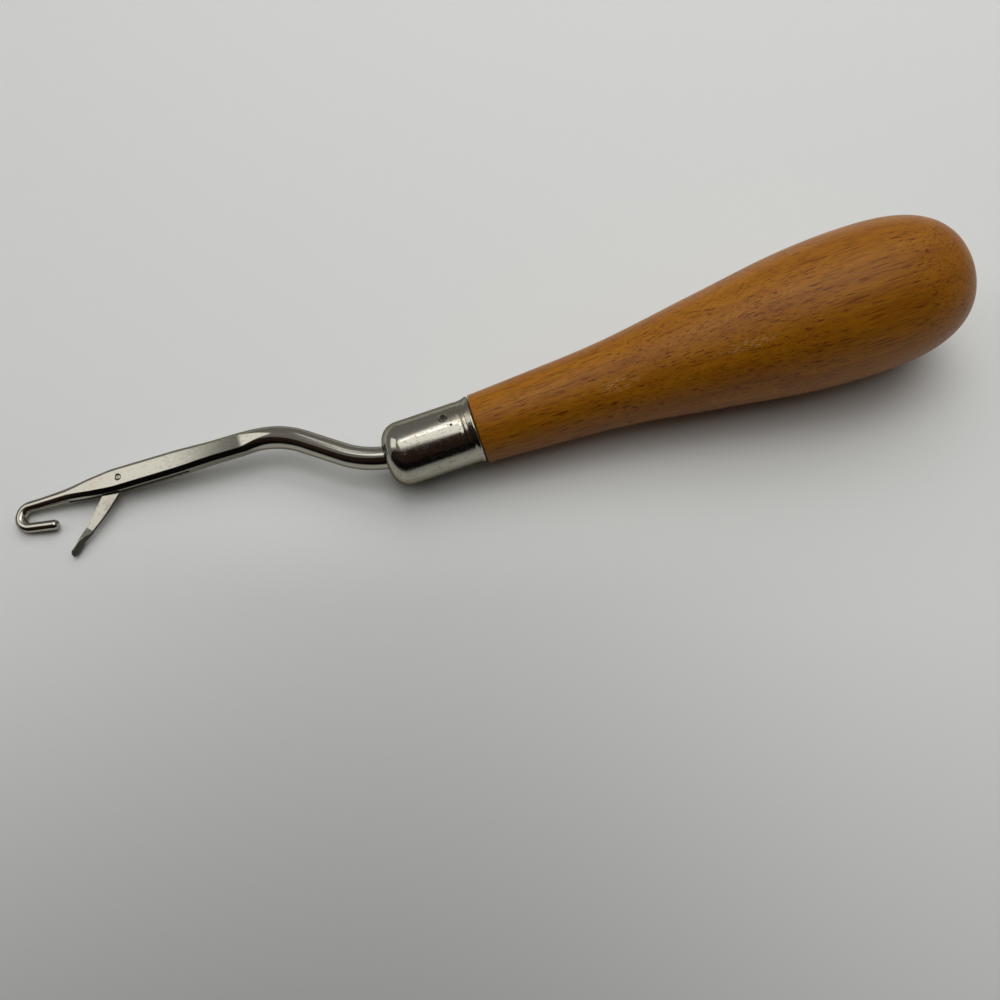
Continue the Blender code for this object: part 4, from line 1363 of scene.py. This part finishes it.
@dataclass
class Latch:
    """The latch: a strap that ends in a spoon, which closes over the tip of the hook.

    Attributes:
        rest_angle: The angle at which it stands open in the tool's own frame.
        thickness: The strap's thickness.
        length: From the pivot to the spoon's tip.
        heel_leading: From the pivot to the heel's leading edge.
        heel_trailing: From the pivot to its trailing edge.
        widest_at: From the pivot to where the leading edge stands out most.
        widest_leading: How far it stands out there.
        fold_at: From the pivot to where the strap opens into the spoon.
        straight_back: How far the trailing edge runs straight.
        back_curve: The power of its bow after that.
        fold_leading: The leading edge at the fold.
        fold_trailing: The trailing edge there.
        spoon_width: The spoon's width.
        spoon_wall: Its wall.
        cup_depth: How deep its cup is.
        rim_leading: How far its rim stands out.
        spoon_full_at: From the pivot to where the spoon has its full width.
        tip_round: The length of its rounded tip.
        edge_break: The width of the broken edges.
        most_broken: The largest share of a side that they take.
        back_shade: How dark the trailing side, the strap's cut edge and the spoon's back, is painted, from 0
            to 1: a painted dark reflection of the shaded table.
        sharp_from: The angle from which an edge is shaded as a sharp one.
        cup_points: Points across the cup.
        face_points: Points along a flat.
        heel_start: Share of a right angle at which the first ring stands.
        heel_rings: Rings round the heel.
        strap_rings: Rings along the strap.
        spoon_rings: Rings along the spoon.
        tip_rings: Rings round the tip.
        tip_end: Share of a right angle at which the last ring stands.
    """

    rest_angle: float = math.radians(226.0)
    thickness: float = 0.58 * MM
    length: float = 15.9 * MM
    heel_leading: float = 1.38 * MM
    heel_trailing: float = 1.05 * MM
    widest_at: float = 3.6 * MM
    widest_leading: float = 1.62 * MM
    fold_at: float = 10.4 * MM
    straight_back: float = 4.0 * MM
    back_curve: float = 2.2
    fold_leading: float = 0.92 * MM
    fold_trailing: float = 0.52 * MM
    spoon_width: float = 2.0 * MM
    spoon_wall: float = 0.26 * MM
    cup_depth: float = 0.61 * MM
    rim_leading: float = 0.62 * MM
    spoon_full_at: float = 13.2 * MM
    tip_round: float = 1.3 * MM
    edge_break: float = 0.05 * MM
    most_broken: float = 0.3
    back_shade: float = 0.85
    sharp_from: float = math.radians(12.0)
    cup_points: int = 17
    face_points: int = 9
    heel_start: float = 0.12
    heel_rings: int = 15
    strap_rings: int = 48
    spoon_rings: int = 24
    tip_rings: int = 16
    tip_end: float = 0.97

    def heel_radius(self) -> float:
        """The radius of the round heel."""
        return (self.heel_leading + self.heel_trailing) / 2

    def places(self) -> np.ndarray:
        """Where the rings stand, from the round heel to the spoon's tip."""
        turn = np.linspace(self.heel_start, 1.0, self.heel_rings + 1)[:-1] * RIGHT_ANGLE
        strap = np.linspace(0.0, self.fold_at, self.strap_rings)
        tip_start = self.length - self.tip_round
        spoon = np.linspace(self.fold_at, tip_start, self.spoon_rings)[1:-1]
        closing = np.linspace(0.0, self.tip_end, self.tip_rings) * RIGHT_ANGLE
        tip = self.length - self.tip_round * (1.0 - np.sin(closing))
        return np.concatenate([-self.heel_radius() * np.cos(turn), strap, spoon, tip])

    def edges(self, place: np.ndarray) -> tuple[np.ndarray, np.ndarray]:
        """The strap's leading and trailing edges: a half circle round the heel, then a
        straight leading edge in two lengths and a trailing edge that bows in by a power.

        Args:
            place: Places along the latch.

        Returns:
            Both edges.
        """
        half = np.sqrt(np.clip(self.heel_radius() ** 2 - place**2, 0.0, None))
        middle = (self.heel_trailing - self.heel_leading) / 2
        turns_at = (0.0, self.widest_at, self.fold_at)
        leading = -np.interp(place, turns_at, (self.heel_leading, self.widest_leading, self.fold_leading))
        way = np.clip((place - self.straight_back) / (self.fold_at - self.straight_back), 0.0, 1.0)
        trailing = self.heel_trailing - (self.heel_trailing - self.fold_trailing) * way**self.back_curve
        return np.where(place < 0.0, middle - half, leading), np.where(place < 0.0, middle + half, trailing)

    def build(self, frame: ToolFrame, needle: Needle) -> bpy.types.Object:
        """Carry a bar with broken edges along the strap and open it into the spoon's cup.

        The cup's depth across the spoon is a parabola. Its rings shrink over the tip as the
        root of one less the square of the way.

        Args:
            frame: Where the tool lies.
            needle: The needle that the latch swings in.

        Returns:
            The latch.
        """
        place = self.places()[:, None]
        leading, trailing = self.edges(np.minimum(place, self.fold_at))
        spread = np.clip((place - self.fold_at) / (self.spoon_full_at - self.fold_at), 0.0, 1.0)
        half = (self.thickness + spread * (self.spoon_width - self.thickness)) / 2
        rim = leading + spread * (-self.rim_leading - leading)
        wall = (trailing - leading) + eased(spread) * (self.spoon_wall - (trailing - leading))
        cup = spread * self.cup_depth
        past = np.clip((place - (self.length - self.tip_round)) / self.tip_round, 0.0, 1.0)
        shrink = np.sqrt(1.0 - past**2)
        half = half * shrink
        cup = cup * shrink**2
        middle = np.where(past > 0.0, rim + self.cup_depth / 2, rim)
        rim = middle + (rim - middle) * shrink
        cut = np.minimum(self.edge_break / half, self.most_broken)
        side = np.linspace(-1.0, 1.0, self.cup_points) * (1.0 - cut)
        bow = cup * (1.0 - side**2)
        share = np.linspace(0.0, 1.0, self.face_points)
        corner = np.minimum(self.edge_break / wall, self.most_broken)
        face = rim + wall * (corner + (1.0 - 2.0 * corner) * share)
        edge = np.broadcast_to(half, face.shape)
        across = np.concatenate([rim + bow, face, (rim + wall + bow)[:, ::-1], face[:, ::-1]], axis=1)
        through = np.concatenate([half * side, edge, (half * side)[:, ::-1], -edge], axis=1)
        x = np.broadcast_to(place, across.shape)
        cos, sin = math.cos(self.rest_angle), math.sin(self.rest_angle)
        points = np.stack([x * cos - across * sin, x * sin + across * cos, through], axis=-1)
        made = np.stack([x, across, through], axis=-1)
        laid = frame.lay(points + needle.pivot_place())
        obj = skin("latch_strap", laid, made, Ends.CAPPED, self.sharp_from)
        # Painted shade: the trailing side and the tip's middle are painted dark, a painted reflection of the
        # shaded table below.
        painted_shade = np.zeros(across.shape)
        trailing_side = self.cup_points + self.face_points
        painted_shade[:, trailing_side : trailing_side + self.cup_points] = self.back_shade
        set_painted_shade(obj, painted_shade, 0.0, self.back_shade)
        return obj


@dataclass(frozen=True)
class Lamp:
    """A flat soft lamp that faces the tool.

    Attributes:
        name: What it is.
        place: Its centre in the picture's frame.
        size: Its two sides.
        radiance: How bright its face is.
        mirrored: Whether it shows in the metal.
    """

    name: str
    place: Triple
    size: Pair
    radiance: float
    mirrored: bool = True

    def hang(self, placing: Matrix) -> None:
        """Make the lamp and turn it to the middle of the table.

        Args:
            placing: The matrix from the picture's frame.
        """
        data = bpy.data.lights.new(self.name, "AREA")
        data.shape = "RECTANGLE"
        data.size, data.size_y = self.size
        data.energy = self.radiance * math.pi * self.size[0] * self.size[1]
        lamp = bpy.data.objects.new(self.name, data)
        bpy.context.scene.collection.objects.link(lamp)
        facing = (-Vector(self.place)).to_track_quat("-Z", "Y").to_matrix().to_4x4()
        lamp.matrix_world = placing @ Matrix.Translation(self.place) @ facing
        setattr(lamp, Ray.CAMERA.value, False)
        setattr(lamp, Ray.GLOSSY.value, self.mirrored)


LAMPS = (
    Lamp("fill", place=(0.12, 0.37, 0.38), size=(0.7, 0.3), radiance=1.5, mirrored=False),
    Lamp("soft_box", place=(0.06, 0.045, 0.8), size=(0.7, 0.53), radiance=1.3),
    Lamp("strip", place=(0.06, 0.2, 0.79), size=(0.68, 0.18), radiance=1.6),
    Lamp("upper_box", place=(0.06, 0.5, 0.8), size=(0.7, 0.4), radiance=0.6),
    Lamp("left_box", place=(-0.8, 0.2, 0.78), size=(0.6, 0.6), radiance=1.15),
)


@dataclass
class Studio:
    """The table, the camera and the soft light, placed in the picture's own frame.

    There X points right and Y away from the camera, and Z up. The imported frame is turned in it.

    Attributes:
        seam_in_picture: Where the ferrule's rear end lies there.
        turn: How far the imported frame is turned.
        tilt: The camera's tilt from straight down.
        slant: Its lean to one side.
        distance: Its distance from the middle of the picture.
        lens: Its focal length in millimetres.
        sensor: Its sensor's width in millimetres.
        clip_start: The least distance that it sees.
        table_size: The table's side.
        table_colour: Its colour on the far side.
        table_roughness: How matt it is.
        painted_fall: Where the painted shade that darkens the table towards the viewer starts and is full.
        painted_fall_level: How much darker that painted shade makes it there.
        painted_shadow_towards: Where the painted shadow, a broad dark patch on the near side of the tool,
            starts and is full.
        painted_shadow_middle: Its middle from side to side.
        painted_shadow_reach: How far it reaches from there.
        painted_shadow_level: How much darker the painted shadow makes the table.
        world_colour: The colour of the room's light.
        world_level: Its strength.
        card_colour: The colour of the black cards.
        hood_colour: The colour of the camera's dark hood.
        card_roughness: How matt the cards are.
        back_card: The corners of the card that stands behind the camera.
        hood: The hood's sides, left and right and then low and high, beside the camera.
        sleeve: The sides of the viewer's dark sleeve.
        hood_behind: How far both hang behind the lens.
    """

    seam_in_picture: Pair = (-3.58 * MM, 10.46 * MM)
    turn: float = math.radians(16.44)
    tilt: float = math.radians(24.0)
    slant: float = math.radians(3.5)
    distance: float = 171.3 * MM
    lens: float = 34.67
    sensor: float = 36.0
    clip_start: float = 5 * MM
    table_size: float = 6.0
    table_colour: Triple = (0.765, 0.775, 0.755)
    table_roughness: float = 0.6
    # Painted shade and painted shadow in the table's colour, darker towards the viewer.
    painted_fall: Pair = (-22 * MM, -95 * MM)
    painted_fall_level: float = 0.19
    painted_shadow_towards: Pair = (0.0, -22 * MM)
    painted_shadow_middle: float = -15 * MM
    painted_shadow_reach: float = 100 * MM
    painted_shadow_level: float = 0.16
    world_colour: tuple[float, float, float, float] = (1.0, 1.0, 0.98, 1.0)
    world_level: float = 0.22
    card_colour: Triple = (0.006, 0.006, 0.006)
    hood_colour: Triple = (0.07, 0.03, 0.02)
    card_roughness: float = 0.9
    back_card: tuple[Triple, ...] = (
        (-1.5, -0.5, 0.0),
        (1.5, -0.5, 0.0),
        (1.5, -0.36, 0.85),
        (-1.5, -0.36, 0.85),
    )
    hood: tuple[Pair, Pair] = ((-0.24, 0.04), (-0.15, 0.022))
    sleeve: tuple[Pair, Pair] = ((-0.36, 0.1), (-0.36, -0.13))
    hood_behind: float = 0.008

    def from_picture(self, frame: ToolFrame) -> Matrix:
        """The matrix from the picture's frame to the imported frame, on which the table is level.

        Args:
            frame: Where the tool lies.

        Returns:
            A 4 by 4 matrix.
        """
        turn = Matrix.Rotation(self.turn, 4, "Z")
        seam = turn @ Vector((frame.origin[0], frame.origin[1], 0.0))
        shift = Vector((*self.seam_in_picture, 0.0)) - seam
        return (Matrix.Translation(shift) @ turn).inverted()

    def add_camera(self, placing: Matrix) -> None:
        """Make the camera at the photograph's distance, tilt and slant."""
        cos_t, sin_t = math.cos(self.tilt), math.sin(self.tilt)
        cos_s, sin_s = math.cos(self.slant), math.sin(self.slant)
        right = Vector((cos_s, 0.0, -sin_s))
        up = Vector((sin_t * sin_s, cos_t, sin_t * cos_s))
        back = right.cross(up)
        data = bpy.data.cameras.new("camera")
        data.lens = self.lens
        data.sensor_width = self.sensor
        data.clip_start = self.clip_start
        camera = bpy.data.objects.new("camera", data)
        bpy.context.scene.collection.objects.link(camera)
        pose = Matrix((right, up, back)).transposed().to_4x4()
        pose.translation = back * self.distance
        camera.matrix_world = placing @ pose
        bpy.context.scene.camera = camera

    def add_sheet(self, name: str, corners: list, colour: Triple, roughness: float) -> bpy.types.Object:
        """Add a flat stage piece of one plain colour.

        Args:
            name: The piece's name.
            corners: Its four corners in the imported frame.
            colour: Its colour.
            roughness: How matt it is.

        Returns:
            The piece.
        """
        mesh = bpy.data.meshes.new(name)
        mesh.from_pydata(corners, [], [(0, 1, 2, 3)])
        material, _, shader = new_material(name)
        shader.inputs["Base Color"].default_value = (*colour, 1.0)
        shader.inputs["Roughness"].default_value = roughness
        mesh.materials.append(material)
        sheet = bpy.data.objects.new(name, mesh)
        bpy.context.scene.collection.objects.link(sheet)
        return sheet

    def add_table(self, placing: Matrix) -> None:
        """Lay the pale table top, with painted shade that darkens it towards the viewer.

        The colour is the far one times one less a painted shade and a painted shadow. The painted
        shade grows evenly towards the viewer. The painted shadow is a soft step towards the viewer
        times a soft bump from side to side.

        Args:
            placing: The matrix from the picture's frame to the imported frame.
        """
        half = self.table_size / 2
        corners = [(-half, -half, 0.0), (half, -half, 0.0), (half, half, 0.0), (-half, half, 0.0)]
        table = self.add_sheet("table", corners, self.table_colour, self.table_roughness)
        tree = table.data.materials[0].node_tree
        picture = placing.inverted()
        feeds = {
            "Vector": put(tree, "ShaderNodeTexCoord").outputs["Object"],
            "Location": picture.translation,
            "Rotation": picture.to_euler(),
        }
        turned = put(tree, "ShaderNodeMapping", feeds).outputs[0]
        x, y, _ = put(tree, "ShaderNodeSeparateXYZ", {0: turned}).outputs
        # Painted shade: the colour darkens evenly towards the viewer.
        painted_fall = ramp(tree, y, *self.painted_fall, soft=False, top=self.painted_fall_level)
        # Painted shadow: a broad dark patch on the near side, soft towards the viewer and from side to side.
        aside = calculate(tree, "ABSOLUTE", calculate(tree, "SUBTRACT", x, self.painted_shadow_middle))
        across = ramp(tree, aside, self.painted_shadow_reach, 0.0)
        painted_shadow = calculate(tree, "MULTIPLY", ramp(tree, y, *self.painted_shadow_towards), across)
        painted_shadow = calculate(tree, "MULTIPLY", painted_shadow, self.painted_shadow_level)
        level = calculate(tree, "SUBTRACT", calculate(tree, "SUBTRACT", 1.0, painted_fall), painted_shadow)
        tone = {0: self.table_colour, "Scale": level}
        colour = put(tree, "ShaderNodeVectorMath", tone, operation="SCALE").outputs[0]
        tree.links.new(colour, tree.nodes["Principled BSDF"].inputs["Base Color"])

    def add_card(self, name: str, corners: list[Vector], colour: Triple) -> None:
        """Stand a dark card where the room behind the camera is dark. The metal mirrors it."""
        card = self.add_sheet(name, corners, colour, self.card_roughness)
        setattr(card, Ray.CAMERA.value, False)

    def build(self, frame: ToolFrame) -> None:
        """Set the stage.

        Args:
            frame: Where the tool lies.
        """
        placing = self.from_picture(frame)
        self.add_camera(placing)
        self.add_table(placing)
        self.add_card("back_card", [placing @ Vector(corner) for corner in self.back_card], self.card_colour)
        camera = bpy.context.scene.camera.matrix_world
        for name, sides, colour in (
            ("camera_hood", self.hood, self.hood_colour),
            ("dark_sleeve", self.sleeve, self.card_colour),
        ):
            (left, right), (low, high) = sides
            places = ((left, low), (right, low), (right, high), (left, high))
            self.add_card(name, [camera @ Vector((*place, self.hood_behind)) for place in places], colour)
        for lamp in LAMPS:
            lamp.hang(placing)
        world = bpy.data.worlds.new("room")
        bpy.context.scene.world = world
        world.use_nodes = True
        background = world.node_tree.nodes["Background"]
        background.inputs["Color"].default_value = self.world_colour
        background.inputs["Strength"].default_value = self.world_level
        bpy.context.scene.view_settings.view_transform = "Standard"


def main(packed: dict) -> None:
    """Build every piece, dress it and set the stage.

    Args:
        packed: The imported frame.
    """
    effects = Effects()
    needle = Needle()
    frame = ToolFrame.from_joint(packed["joints"][0], needle.pivot_place())
    Studio().build(frame)
    ferrule_plate = NickelPlate("ferrule_plate", roughness=0.12, speckle=0.7, brushing=0.003 * MM)
    needle_plate = NickelPlate("needle_plate", roughness=0.08, speckle=0.22)
    rivet_plate = NickelPlate("rivet_plate", colour=(0.38, 0.36, 0.3), roughness=0.22)
    latch_plate = NickelPlate("latch_plate", roughness=0.18, speckle=0.45)
    for piece, body, node, slot, finish in (
        (Handle().build(frame), "tool", "handle", "handle_wood", LacqueredBeech()),
        (Ferrule().build(frame), "tool", "ferrule", "ferrule_nickel", ferrule_plate),
        (needle.build(frame), "tool", "hook_needle", "needle_nickel", needle_plate),
        (Rivet().build(frame, needle), "tool", "latch_rivet", "rivet_nickel", rivet_plate),
        (Latch().build(frame, needle), "latch", "latch", "latch_nickel", latch_plate),
    ):
        finish_piece(piece, body, node, finish.build(effects))


if __name__ == "__main__":
    logging.basicConfig(level=logging.INFO)
    packed_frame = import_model()
    main(packed_frame)
